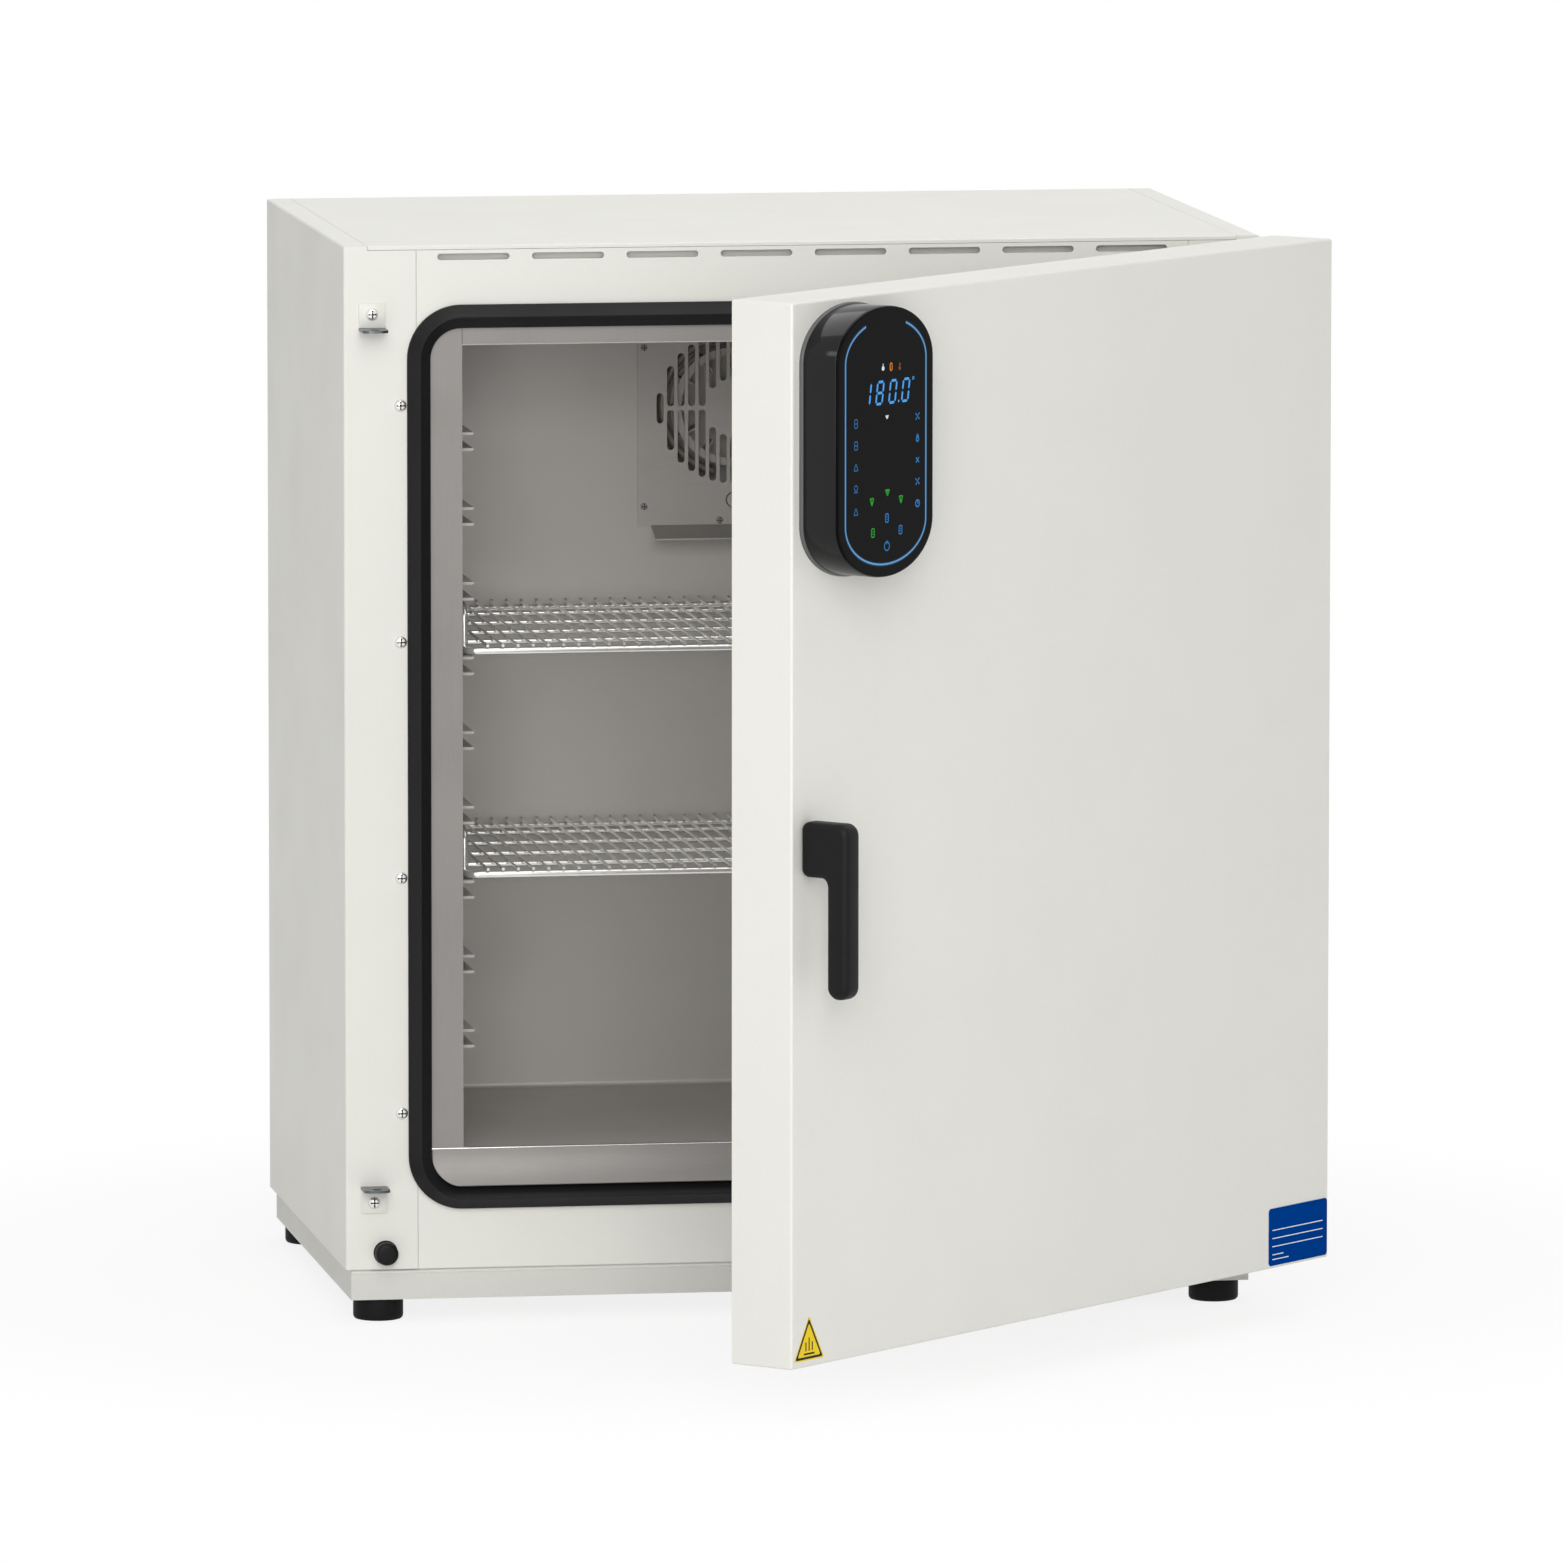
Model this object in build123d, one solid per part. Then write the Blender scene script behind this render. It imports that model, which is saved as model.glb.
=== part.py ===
"""Bench-top laboratory oven, built as separate parts in their working places.

Units are millimetres and +Z points up. The origin lies on the floor at the
centre of the four feet, and the front of the casing faces -Y. The door pieces
are laid out closed and then swung to the angle at which the door stands.
"""

import math
import os

from build123d import *

# Sheet metal, screws and fits shared by the whole oven
sheet = 1.2
fold_radius = 2.0
seam = 0.3
running_fit = 0.05
clear_fit = 0.3
screw_radius = 2.0
screw_head_radius = 4.7
screw_head_height = 2.6
screw_length = 7.0

# Casing, plinth and feet
casing_width = 700.0
casing_depth = 456.0
casing_bottom = 41.0
casing_top = 817.0
half_width = casing_width / 2
front = -casing_depth / 2
back = casing_depth / 2
front_seam_x = 295.0
top_seam_x = 331.8
top_lip = 3.0
flange_depth = 20.0
foot_height = 17.0
foot_radius = 19.0
foot_chamfer = 2.0
foot_x = 322.0
foot_inset = 26.0
plinth_inset = 4.8
plinth_sheet = 1.5
vent_count = 8
vent_pitch = 71.8
vent_length = 54.7
vent_height = 4.9
vent_drop = 8.6
vent_z = casing_top - vent_drop

# Chamber and its insulation
chamber_x = 260.0
chamber_floor = 130.4
chamber_headroom = 75.0
chamber_roof = casing_top - chamber_headroom
chamber_depth = 342.0
chamber_corner = 4.0
flange_x = 289.0
flange_low = 96.0
flange_high = chamber_roof + 18.0
flange_corner = 25.0
insulation_side = 40.0
insulation_front_gap = 0.3
wall_front = front + chamber_depth
wall_rear = wall_front + sheet

# Door gasket
gasket_width = 604.0
gasket_low = 86.3
gasket_high = chamber_roof + 30.3
gasket_height = gasket_high - gasket_low
gasket_z = (gasket_low + gasket_high) / 2
gasket_corner = 41.0
gasket_strip = 17.5
gasket_foot = 4.0
gasket_height_total = 11.6
gasket_slope = 7.5

# Sill at the foot of the chamber mouth
sill_x = 283.7
sill_return = 12.0
sill_lift = 1.2
sill_radius = 46.2
sill_low = 104.2

# Shelf ledges, numbered from the top
ledge_pairs = 9
ledge_top = chamber_roof - 68.0
ledge_pitch = (ledge_top - chamber_floor - 90.0) / (ledge_pairs - 1)
ledge_step = 12.0
ledge_reach = 11.0
ledge_thickness = 2.0
ledge_leg = 8.0
ledge_leg_thickness = 1.6
ledge_front = 18.0
ledge_back = 328.0

# Wire shelves
upper_shelf_pair = 3
lower_shelf_pair = 6
rod_radius = 3.0
shelf_x = 253.0
shelf_front = 25.0
shelf_back = 330.0
shelf_corner = 8.0
hoop_inset = 18.0
hoop_height = 39.0
hoop_bend = 12.0
grid_wire_radius = 1.25
grid_pitch = 11.6
grid_count = 42
grid_overhang = 3.0
grid_tail = 3.0
cross_wire_radius = 2.0
cross_count = 4
cross_pitch = 66.0
weld_depth = 0.4

# Fan behind the back wall
fan_z = chamber_roof - 82.2
cover_x = 75.5
cover_low = fan_z - 92.2
cover_high = fan_z + 63.2
cover_lip_x = 64.9
cover_lip_reach = 27.0
cover_lip_drop = 8.0
cover_screw_x = 70.3
cover_tab_x = 11.0
cover_screws = ((-cover_screw_x, cover_high - 16.0), (cover_screw_x, cover_high - 16.0),
                (-cover_screw_x, cover_low + 15.8), (cover_screw_x, cover_low + 15.8),
                (-cover_tab_x, cover_low + 4.4), (cover_tab_x, cover_low + 4.4))
cover_screw_radius = 1.8
cover_head_radius = 3.2
cover_head_height = 1.6
grille_radius = 59.3
grille_hub = 22.5
grille_slot = 5.5
grille_pitch = 8.25
grille_web = 3.0
grille_end_slot = 23.4
wall_opening_x = 66.0
wall_opening_low = cover_low + 11.4
wall_opening_high = cover_high - 6.0
housing_x = wall_opening_x + 2.0
housing_low = wall_opening_low - 4.0
housing_high = wall_opening_high + 2.0
housing_depth = 40.0
cutout_x = housing_x + 6.0
cutout_low = housing_low - 9.0
cutout_high = housing_high + 7.0
insulation_back = 398.0
wheel_radius = 46.0
wheel_depth = 22.0
wheel_front = chamber_depth + 6.0
wheel_blades = 12
wheel_hub = 10.0
wheel_hub_step = 4.0
wheel_ring = 6.0
wheel_blade_root = 30.5
wheel_sheet = 1.5
shaft_radius = 3.0
motor_radius = 38.0
motor_front = wheel_front + 56.0
motor_length = 42.0
bracket_size = 120.0
bracket_post = 52.0
bracket_sheet = 2.0
bracket_bore = 12.0
bracket_post_radius = 4.0
motor_edge = 4.0
heater_radius = 53.0
heater_tube = 3.2
heater_gap_angle = 15.0
heater_plane = wheel_front + 14.0
heater_leg = 12.0
heater_block = (44.0, 6.0, 12.0)
probe_z = fan_z - 72.0
probe_radius = 3.0
probe_head = 5.6
probe_head_proud = 4.0
probe_head_sunk = 2.0
probe_tail = 10.0
probe_collar = 3.0
probe_hole = 6.2

# Keepers, frame screws and door switch on the front
keeper_x = -328.5
keeper_width = 20.0
keeper_reach = 25.0
keeper_thickness = 2.0
keeper_leg = 20.5
keeper_screw_offset = 12.4
keeper_upper_z = chamber_roof + 11.5
keeper_upper_top = keeper_upper_z + keeper_leg
keeper_lower_z = 104.5
keeper_lower_bottom = keeper_lower_z - keeper_leg
keeper_upper_screw = keeper_upper_z + keeper_screw_offset
keeper_lower_screw = keeper_lower_z - keeper_screw_offset
keeper_hole = 3.7
frame_screw_x = 307.0
frame_screw_count = 4
frame_screw_top = casing_top - 120.3
frame_screw_low = 159.7
frame_screw_pitch = (frame_screw_top - frame_screw_low) / (frame_screw_count - 1)
plunger_x = -319.6
plunger_z = 53.6
plunger_radius = 9.0
plunger_proud = 11.6
plunger_travel = 4.0
plunger_collar = 10.0
switch_body_radius = 11.2
switch_body_length = 22.0
switch_end_wall = 3.0
switch_room = 4.8
plunger_tail = 12.0
plunger_edge = 1.5
plunger_collar_length = 2.0

# Door, hinged on the right
door_low = 43.5
door_high = casing_top + 2.0
door_thickness = 53.4
door_gap = 12.0
door_rest_angle = 45.3
door_inner = front - door_gap
door_outer = door_inner - door_thickness
plug_x = 270.0
plug_low = 134.0
plug_high = chamber_roof + 6.0
plug_height = 8.0
plug_corner = 12.0
slot_x = 12.0
slot_z = 4.0
door_insulation_left = -300.0
door_insulation_right = 340.0
door_insulation_end = 4.5

# Hinges
pivot_x = 369.5
pivot_y = door_inner
hinge_centres = (casing_top - 82.0, casing_bottom + 84.0)
hinge_half = 45.0
hinge_plate = 4.0
knuckle_radius = 8.0
hinge_pin_radius = 3.0
knuckle_gap = 0.15
hinge_screw_z = 28.0
bracket_plate_front = 2.0
bracket_plate_back = 40.0
leaf_plate_front = 53.4
leaf_plate_back = 14.0

# Handle and rack-and-pinion lock
handle_x = -331.6
handle_z = 423.0
handle_width = 16.4
handle_neck_low = 402.5
handle_top = 443.0
handle_low = 315.0
handle_neck = 25.0
handle_grip = 17.0
handle_face_gap = 0.3
spindle_radius = 4.0
gear_module = 1.0
gear_teeth = 16
pressure_angle = math.radians(20.0)
gear_backlash = 0.15
gear_dedendum = 1.15
gear_addendum = 0.9
rack_addendum = 0.8
rack_dedendum = 1.25
rack_thickness = 4.85
rack_teeth = 7
lock_y = front - 19.0
lock_half_depth = 4.0
lock_rod_x = -328.5
lock_rod_radius = 4.0
lock_pin_radius = 3.0
lock_pin_length = 14.0
lock_tip_gap = 1.5
lock_case_x = (-347.0, -315.0)
lock_case_half = 46.0
lock_case_front = front - 26.0
rod_guide_offsets = (-285.0, -137.0, 137.0, 285.0)
rod_guide_half_width = 8.0

# Control pod and plate on the door's face
pod_x = -280.4
pod_z = door_high - 103.3
pod_width = 119.4
pod_height = 196.6
pod_end = 40.0
pod_depth = 33.4
pod_base = 3.0
pod_base_rim = 1.2
pod_wall = 2.5
pod_glass = 2.0
pod_board_level = 22.0
board_thickness = 1.6
board_post = 3.0
board_post_x = 35.0
board_post_z = 55.0
module_size = (64.0, 50.0)
module_height = 4.0
module_lift = 40.0
cable_radius = 8.0
plate_left = 269.0
plate_margin = 2.2
plate_high = 90.5
plate_thickness = 0.6

# Rear: exhaust, mains inlet, louvres and power board
exhaust_x = 180.0
exhaust_z = chamber_roof - 52.0
exhaust_radius = 25.0
exhaust_duct_radius = 23.8
exhaust_wall = 1.5
exhaust_reach = 22.0
exhaust_stub_gap = 0.5
exhaust_sector_outer = 20.0
exhaust_sector_inner = 6.0
exhaust_sector_half = 40.0
damper_radius = 24.5
damper_ridge = (5.0, 44.0)
damper_ridge_height = 8.0
damper_pin_length = 4.0
damper_pin_head = 5.0
rear_half_width = 346.0
rear_low = 45.0
rear_high = casing_top - 4.0
rear_screw_x = 338.0
rear_screw_margin = 34.0
rear_screw_rows = 5
louvre_rows = 6
louvre_x = 180.0
louvre_z = 170.0
louvre_pitch = 16.0
louvre_length = 80.0
louvre_height = 4.0
inlet_x = -250.0
inlet_z = 105.0
inlet_plate_half = (78.0, 43.0)
duct_plate_half = (40.0, 40.0)
rear_plate_lap = 8.0
rear_plate_screw_inset = 4.0
rear_plate_corner = 3.0
inlet_body = (28.0, 20.0)
inlet_recess = (24.0, 16.0)
inlet_depth = 22.0
inlet_recess_depth = 18.0
inlet_pin_length = 12.0
inlet_flange_step = (20.0, 8.0)
inlet_flange_thickness = 2.5
inlet_corner = 3.0
inlet_pin_size = (2.0, 4.0)
inlet_pins = ((-7.0, -2.0), (7.0, -2.0), (0.0, 2.0))
board_x = -200.0
board_z = 250.0
board_half = (60.0, 45.0)
board_margin = 6.0
board_standoff = 12.0
transformer_x = (-50.0, -10.0)
transformer_z = (-30.0, 5.0)
transformer_height = 14.0
relay_x = (5.0, 33.0)
relay_z = (-30.0, -12.0)
relay_height = 13.0
terminal_x = (-40.0, 40.0)
terminal_z = (25.0, 37.0)
terminal_height = 10.0


def span(x, y, z):
    """Box between three pairs of limits."""
    size = (x[1] - x[0], y[1] - y[0], z[1] - z[0])
    return Pos(sum(x) / 2, sum(y) / 2, sum(z) / 2) * Box(*size)


def facing(y, outline, depth, taper=0.0):
    """Prism drawn in X and Z that starts at y and grows towards the front."""
    plane = Plane((0, y, 0), x_dir=(1, 0, 0), z_dir=(0, -1, 0))
    return extrude(plane * outline, depth, taper=taper)


def across(points, x_from, x_to):
    """Prism with a (y, z) outline between two x values."""
    plane = Plane((x_from, 0, 0), x_dir=(0, 1, 0), z_dir=(1, 0, 0))
    return extrude(plane * make_face(Polyline(*points, close=True)), x_to - x_from)


def upright(points, z_from, z_to):
    """Prism with an (x, y) outline between two heights."""
    outline = Plane.XY.offset(z_from) * make_face(Polyline(*points, close=True))
    return extrude(outline, z_to - z_from)


def bar(start, end, radius):
    """Round bar between two points."""
    run = Vector(*end) - Vector(*start)
    return extrude(Plane(origin=start, z_dir=run) * Circle(radius), run.length)


def bent_rod(points, radius, bend):
    """Round rod that follows points in one plane and turns with a given bend radius."""
    path = FilletPolyline(*points, radius=bend)
    return sweep(Plane(origin=path @ 0, z_dir=path % 0) * Circle(radius), path=path)


def edges_at(shape, *points):
    """Edges of a shape whose middles lie on the given points."""
    found = []
    for point in points:
        target = Vector(*point)
        found.append(min(shape.edges(), key=lambda edge: (edge.center() - target).length))
    return found


def screw(seat, outward, head_radius=screw_head_radius, head_height=screw_head_height,
          shank_radius=screw_radius, length=screw_length):
    """Domed screw whose head stands on the seat and whose shank goes in."""
    head = Cylinder(head_radius, head_height, align=(Align.CENTER, Align.CENTER, Align.MIN))
    head = fillet(head.edges().sort_by(Axis.Z)[-1], head_height * 0.6)
    shank = Cylinder(shank_radius, length, align=(Align.CENTER, Align.CENTER, Align.MAX))
    return Plane(origin=seat, z_dir=outward) * (head + shank)


def screw_hole(seat, outward, radius=screw_radius + clear_fit):
    """Round cutter for a screw's hole, long enough for one or two sheets."""
    inward = Vector(*seat) - Vector(*outward) * screw_length
    outer = Vector(*seat) + Vector(*outward) * screw_length
    return bar(tuple(inward), tuple(outer), radius)


def swing(shape):
    """Turn a door piece from its closed place to the angle at which the door stands."""
    hinge_line = Axis((pivot_x, pivot_y, 0), (0, 0, 1))
    if isinstance(shape, list):
        return [piece.rotate(hinge_line, door_rest_angle) for piece in shape]
    return shape.rotate(hinge_line, door_rest_angle)


def frame_screw_seats(side):
    """Seats of the screws down one side of the front."""
    heights = [frame_screw_top - frame_screw_pitch * row for row in range(frame_screw_count)]
    return [(side * frame_screw_x, front, z) for z in heights]


def rear_screw_seats(side):
    """Seats of the rear panel's screws down one side."""
    low, high = rear_low + rear_screw_margin, rear_high - rear_screw_margin
    pitch = (high - low) / (rear_screw_rows - 1)
    return [(side * rear_screw_x, back + sheet, low + pitch * row) for row in range(rear_screw_rows)]


def rear_plate_screw_seats():
    """Seats of the four screws in each of the two plates on the rear sheet."""
    seats = []
    for (x, z), (half_x, half_z) in (((inlet_x, inlet_z), inlet_plate_half),
                                     ((exhaust_x, exhaust_z), duct_plate_half)):
        reach_x, reach_z = half_x - rear_plate_screw_inset, half_z - rear_plate_screw_inset
        seats += [(x + i * reach_x, back + 2 * sheet, z + k * reach_z) for i in (-1, 1) for k in (-1, 1)]
    return seats


def keeper_screw_seats():
    """Seats of the keepers' screws."""
    y = front - keeper_thickness
    return [(keeper_x, y, keeper_upper_screw), (keeper_x, y, keeper_lower_screw)]


def hinge_screw_seats(y):
    """Seats of the screws in the hinge plates at one depth."""
    x = half_width + hinge_plate
    return [(x, y, centre + step) for centre in hinge_centres for step in (-hinge_screw_z, hinge_screw_z)]


bracket_screw_y = front + (bracket_plate_front + bracket_plate_back) / 2 + 6
leaf_screw_y = front - (leaf_plate_front + leaf_plate_back) / 2 - 6


def side_panel():
    """Left side wall, folded onto the front, the top, the rear and the base."""
    outer = span((-half_width, -front_seam_x), (front, back), (casing_bottom, casing_top))
    inner = span((-half_width + sheet, -front_seam_x + sheet), (front + sheet, back - sheet),
                 (casing_bottom + sheet, casing_top - sheet))
    middle_z = (casing_bottom + casing_top) / 2
    outer = fillet(edges_at(outer, (-half_width, front, middle_z), (-half_width, back, middle_z),
                            (-half_width, 0, casing_top)), fold_radius)
    inner = fillet(edges_at(inner, (-half_width + sheet, front + sheet, middle_z),
                            (-half_width + sheet, back - sheet, middle_z),
                            (-half_width + sheet, 0, casing_top - sheet)), fold_radius - sheet)
    inside = (-half_width + flange_depth, -front_seam_x + sheet)
    top_trim = span((-top_seam_x, inside[1]), (front - sheet, back + sheet),
                    (casing_top - top_lip - seam, casing_top + sheet))
    rear_trim = span(inside, (back - 2 * sheet, back + sheet), (casing_bottom, casing_top))
    base_trim = span(inside, (front + sheet, back), (casing_bottom - sheet, casing_bottom + 2 * sheet))
    panel = outer - inner - top_trim - rear_trim - base_trim
    for seat in frame_screw_seats(-1):
        panel -= screw_hole(seat, (0, -1, 0))
    for seat in rear_screw_seats(-1):
        panel -= screw_hole(seat, (0, 1, 0))
    return panel


def left_panel():
    """Left side wall with the holes for the keepers and the door switch."""
    panel = side_panel()
    for seat in keeper_screw_seats():
        panel -= screw_hole(seat, (0, -1, 0))
    reach = plunger_radius + clear_fit
    return panel - bar((plunger_x, front - 1, plunger_z), (plunger_x, front + 3, plunger_z), reach)


def right_panel():
    """Right side wall with the holes for the hinge brackets."""
    panel = mirror(side_panel(), Plane.YZ)
    for seat in hinge_screw_seats(bracket_screw_y):
        panel -= screw_hole(seat, (1, 0, 0))
    return panel


def top_panel():
    """Top sheet with a short front lip and a deeper rear lip."""
    x = top_seam_x - seam
    rear_x = half_width - flange_depth - seam
    panel = span((-x, x), (front, back), (casing_top - sheet, casing_top))
    panel += span((-x, x), (front, front + sheet), (casing_top - top_lip, casing_top))
    panel += span((-rear_x, rear_x), (back - sheet, back), (casing_top - flange_depth, casing_top))
    return fillet(edges_at(panel, (0, front, casing_top)), sheet * 0.8)


def front_frame():
    """Front plate round the chamber mouth, with a row of vents and a folded base."""
    x = front_seam_x - seam
    low, high = casing_bottom, casing_top - top_lip - seam
    mouth_width = 2 * (flange_x + seam)
    mouth_height = flange_high - flange_low + 2 * seam
    plate = Pos(0, (low + high) / 2) * Rectangle(2 * x, high - low)
    plate -= Pos(0, (flange_low + flange_high) / 2) * RectangleRounded(
        mouth_width, mouth_height, flange_corner + seam)
    for number in range(vent_count):
        vent_x = (number - (vent_count - 1) / 2) * vent_pitch
        plate -= Pos(vent_x, vent_z) * SlotOverall(vent_length, vent_height)
    frame = facing(front + sheet, plate, sheet)
    return frame + span((-x, x), (front, front + flange_depth), (low, low + sheet))


def inlet_plate_outline(inset=0.0):
    """Outline of the mains inlet's plate, or of the opening behind it."""
    half_x, half_z = inlet_plate_half
    return Pos(inlet_x, inlet_z) * RectangleRounded(2 * (half_x - inset), 2 * (half_z - inset),
                                                    rear_plate_corner)


def duct_plate_outline(inset=0.0):
    """Outline of the exhaust duct's plates, or of the openings behind them."""
    half_x, half_z = duct_plate_half
    return Pos(exhaust_x, exhaust_z) * RectangleRounded(2 * (half_x - inset), 2 * (half_z - inset),
                                                        rear_plate_corner)


def service_plates():
    """Screwed plates over two openings in the rear sheet, for the mains inlet and the exhaust duct."""
    cut_out = Rectangle(inlet_body[0] + clear_fit, inlet_body[1] + clear_fit)
    plates = [inlet_plate_outline() - Pos(inlet_x, inlet_z) * cut_out,
              duct_plate_outline() - Pos(exhaust_x, exhaust_z) * Circle(exhaust_duct_radius + clear_fit)]
    holes = [Pos(seat[0], seat[2]) * Circle(screw_radius + clear_fit) for seat in rear_plate_screw_seats()]
    return [facing(back + 2 * sheet, plate - holes, sheet) for plate in plates]


def rear_panel():
    """Flat rear sheet with louvre slots and an opening behind each service plate."""
    plate = Pos(0, (rear_low + rear_high) / 2) * RectangleRounded(
        2 * rear_half_width, rear_high - rear_low, 4 * fold_radius)
    plate -= inlet_plate_outline(rear_plate_lap)
    plate -= duct_plate_outline(rear_plate_lap)
    for seat in rear_plate_screw_seats():
        plate -= Pos(seat[0], seat[2]) * Circle(screw_radius + clear_fit)
    for side in (-1, 1):
        for row in range(louvre_rows):
            plate -= Pos(side * louvre_x, louvre_z + row * louvre_pitch) * SlotOverall(
                louvre_length, louvre_height)
        for seat in rear_screw_seats(side):
            plate -= Pos(seat[0], seat[2]) * Circle(screw_radius + clear_fit)
    return facing(back + sheet, plate, sheet)


def plinth():
    """Shallow inset tray that carries the casing and the feet."""
    outer_x = half_width - plinth_inset
    y = (front + plinth_inset, back - plinth_inset)
    outer = span((-outer_x, outer_x), y, (foot_height, casing_bottom))
    inner = span((-outer_x + plinth_sheet, outer_x - plinth_sheet),
                 (y[0] + plinth_sheet, y[1] - plinth_sheet),
                 (foot_height + plinth_sheet, casing_bottom + plinth_sheet))
    return outer - inner


def feet():
    """Four round feet with a chamfer at the floor."""
    shapes = []
    for x in (-foot_x, foot_x):
        for y in (front + foot_inset, back - foot_inset):
            foot = Cylinder(foot_radius, foot_height, align=(Align.CENTER, Align.CENTER, Align.MIN))
            foot = chamfer(foot.edges().sort_by(Axis.Z)[0], foot_chamfer)
            shapes.append(Pos(x, y, 0) * foot)
    return shapes


def liner():
    """Stainless chamber with a front flange and openings for the fan, probe and exhaust."""
    outer = span((-chamber_x - sheet, chamber_x + sheet), (front, wall_rear),
                 (chamber_floor - sheet, chamber_roof + sheet))
    inner = span((-chamber_x, chamber_x), (front - sheet, wall_front), (chamber_floor, chamber_roof))
    middle_z = (chamber_floor + chamber_roof) / 2
    middle_y = (front - sheet + wall_front) / 2
    inner = fillet(edges_at(inner, (-chamber_x, wall_front, middle_z), (chamber_x, wall_front, middle_z),
                            (0, wall_front, chamber_floor), (0, wall_front, chamber_roof),
                            (-chamber_x, middle_y, chamber_floor), (chamber_x, middle_y, chamber_floor)),
                   chamber_corner)
    rim = Pos(0, (flange_low + flange_high) / 2) * RectangleRounded(
        2 * flange_x, flange_high - flange_low, flange_corner)
    holes = Pos(0, (wall_opening_low + wall_opening_high) / 2) * RectangleRounded(
        2 * wall_opening_x, wall_opening_high - wall_opening_low, 2 * chamber_corner)
    holes += duct_plate_outline(rear_plate_lap)
    for x, z in cover_screws:
        holes += Pos(x, z) * Circle(cover_screw_radius + clear_fit)
    shell = outer + facing(front + sheet, rim, sheet) - inner
    return shell - facing(wall_rear + sheet, holes, 3 * sheet)


def sill():
    """Curved sill that laps from the chamber floor down inside the gasket."""
    top = chamber_floor + sill_lift
    turn = math.asin((top - sill_low) / sill_radius)
    centre_y = front - sill_radius

    def on_arc(radius, angle):
        return (centre_y + radius * math.cos(angle), top - radius * math.sin(angle))

    inner_radius = sill_radius - sheet
    back_arc = ThreePointArc(*(on_arc(sill_radius, turn * part) for part in (0, 0.5, 1)))
    front_arc = ThreePointArc(*(on_arc(inner_radius, turn * part) for part in (1, 0.5, 0)))
    outline = make_face([back_arc, Line(back_arc @ 1, front_arc @ 0), front_arc,
                         Line(front_arc @ 1, back_arc @ 0)])
    curve = extrude(Plane((-sill_x, 0, 0), x_dir=(0, 1, 0), z_dir=(1, 0, 0)) * outline, 2 * sill_x)
    mouth = Pos(0, gasket_z) * RectangleRounded(
        gasket_width - 2 * gasket_strip - 2 * clear_fit,
        gasket_height - 2 * gasket_strip - 2 * clear_fit, gasket_corner - gasket_strip - clear_fit)
    curve &= facing(front, mouth, 2 * sill_return)
    x = chamber_x - chamber_corner
    return curve + span((-x, x), (front - sheet, front + sill_return), (chamber_floor, top))


def gasket():
    """Rubber ring with a flat foot, two slopes and a narrow crest."""
    outer = Pos(0, gasket_z) * RectangleRounded(gasket_width, gasket_height, gasket_corner)
    inner = Pos(0, gasket_z) * RectangleRounded(
        gasket_width - 2 * gasket_strip, gasket_height - 2 * gasket_strip, gasket_corner - gasket_strip)
    rise = gasket_height_total - gasket_foot
    slope = math.degrees(math.atan(gasket_slope / rise))
    foot = facing(front, outer - inner, gasket_foot)
    crest = facing(front - gasket_foot, outer, rise, slope)
    crest -= facing(front - gasket_foot, inner, rise, -slope)
    return foot + crest


def insulation():
    """Mineral-wool jacket round the chamber, cut out for the fan and the exhaust pipe."""
    x = chamber_x + sheet
    low, high = chamber_floor - sheet, chamber_roof + sheet
    start = front + sheet + insulation_front_gap
    jacket = span((-x - insulation_side, x + insulation_side), (start, front + insulation_back),
                  (low - insulation_side, high + insulation_side))
    jacket -= span((-x, x), (front, wall_rear), (low, high))
    jacket -= span((-cutout_x, cutout_x), (wall_front, back), (cutout_low, cutout_high))
    return jacket - bar((exhaust_x, wall_front, exhaust_z), (exhaust_x, back, exhaust_z),
                        exhaust_duct_radius + clear_fit)


def shelf_ledges(side):
    """Eighteen bent strips on one chamber wall, in nine pairs."""
    strips = []
    for pair in range(ledge_pairs):
        for step in (0, ledge_step):
            z = ledge_top - ledge_pitch * pair - step
            outline = make_face(Polyline(
                (-chamber_x, z), (-chamber_x + ledge_reach, z),
                (-chamber_x + ledge_reach, z - ledge_thickness),
                (-chamber_x + ledge_leg_thickness, z - ledge_thickness),
                (-chamber_x + ledge_leg_thickness, z - ledge_leg), (-chamber_x, z - ledge_leg), close=True))
            strip = facing(front + ledge_back, outline, ledge_back - ledge_front)
            strips.append(strip if side < 0 else mirror(strip, Plane.YZ))
    return strips


def shelf_level(pair):
    """Height of the middle of a shelf's rods when it rests on a pair's upper ledges."""
    return ledge_top - ledge_pitch * pair + clear_fit + rod_radius


def shelf_frame(pair):
    """Rod rectangle with a raised hoop on each side."""
    z = shelf_level(pair)
    y = (front + shelf_front, front + shelf_back)
    half = FilletPolyline((0, y[0], z), (shelf_x, y[0], z), (shelf_x, y[1], z), (0, y[1], z),
                          radius=shelf_corner)
    right = sweep(Plane(origin=half @ 0, z_dir=half % 0) * Circle(rod_radius), path=half)
    loop = right + mirror(right, Plane.YZ)
    hoops = []
    for side in (-1, 1):
        x = side * shelf_x
        low = z + rod_radius
        points = [(x, y[0] + hoop_inset, low), (x, y[0] + hoop_inset, z + hoop_height - 2 * rod_radius),
                  (x, y[1] - hoop_inset, z + hoop_height - 2 * rod_radius), (x, y[1] - hoop_inset, low)]
        hoops.append(bent_rod(points, rod_radius, hoop_bend))
    return [loop] + hoops


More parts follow.
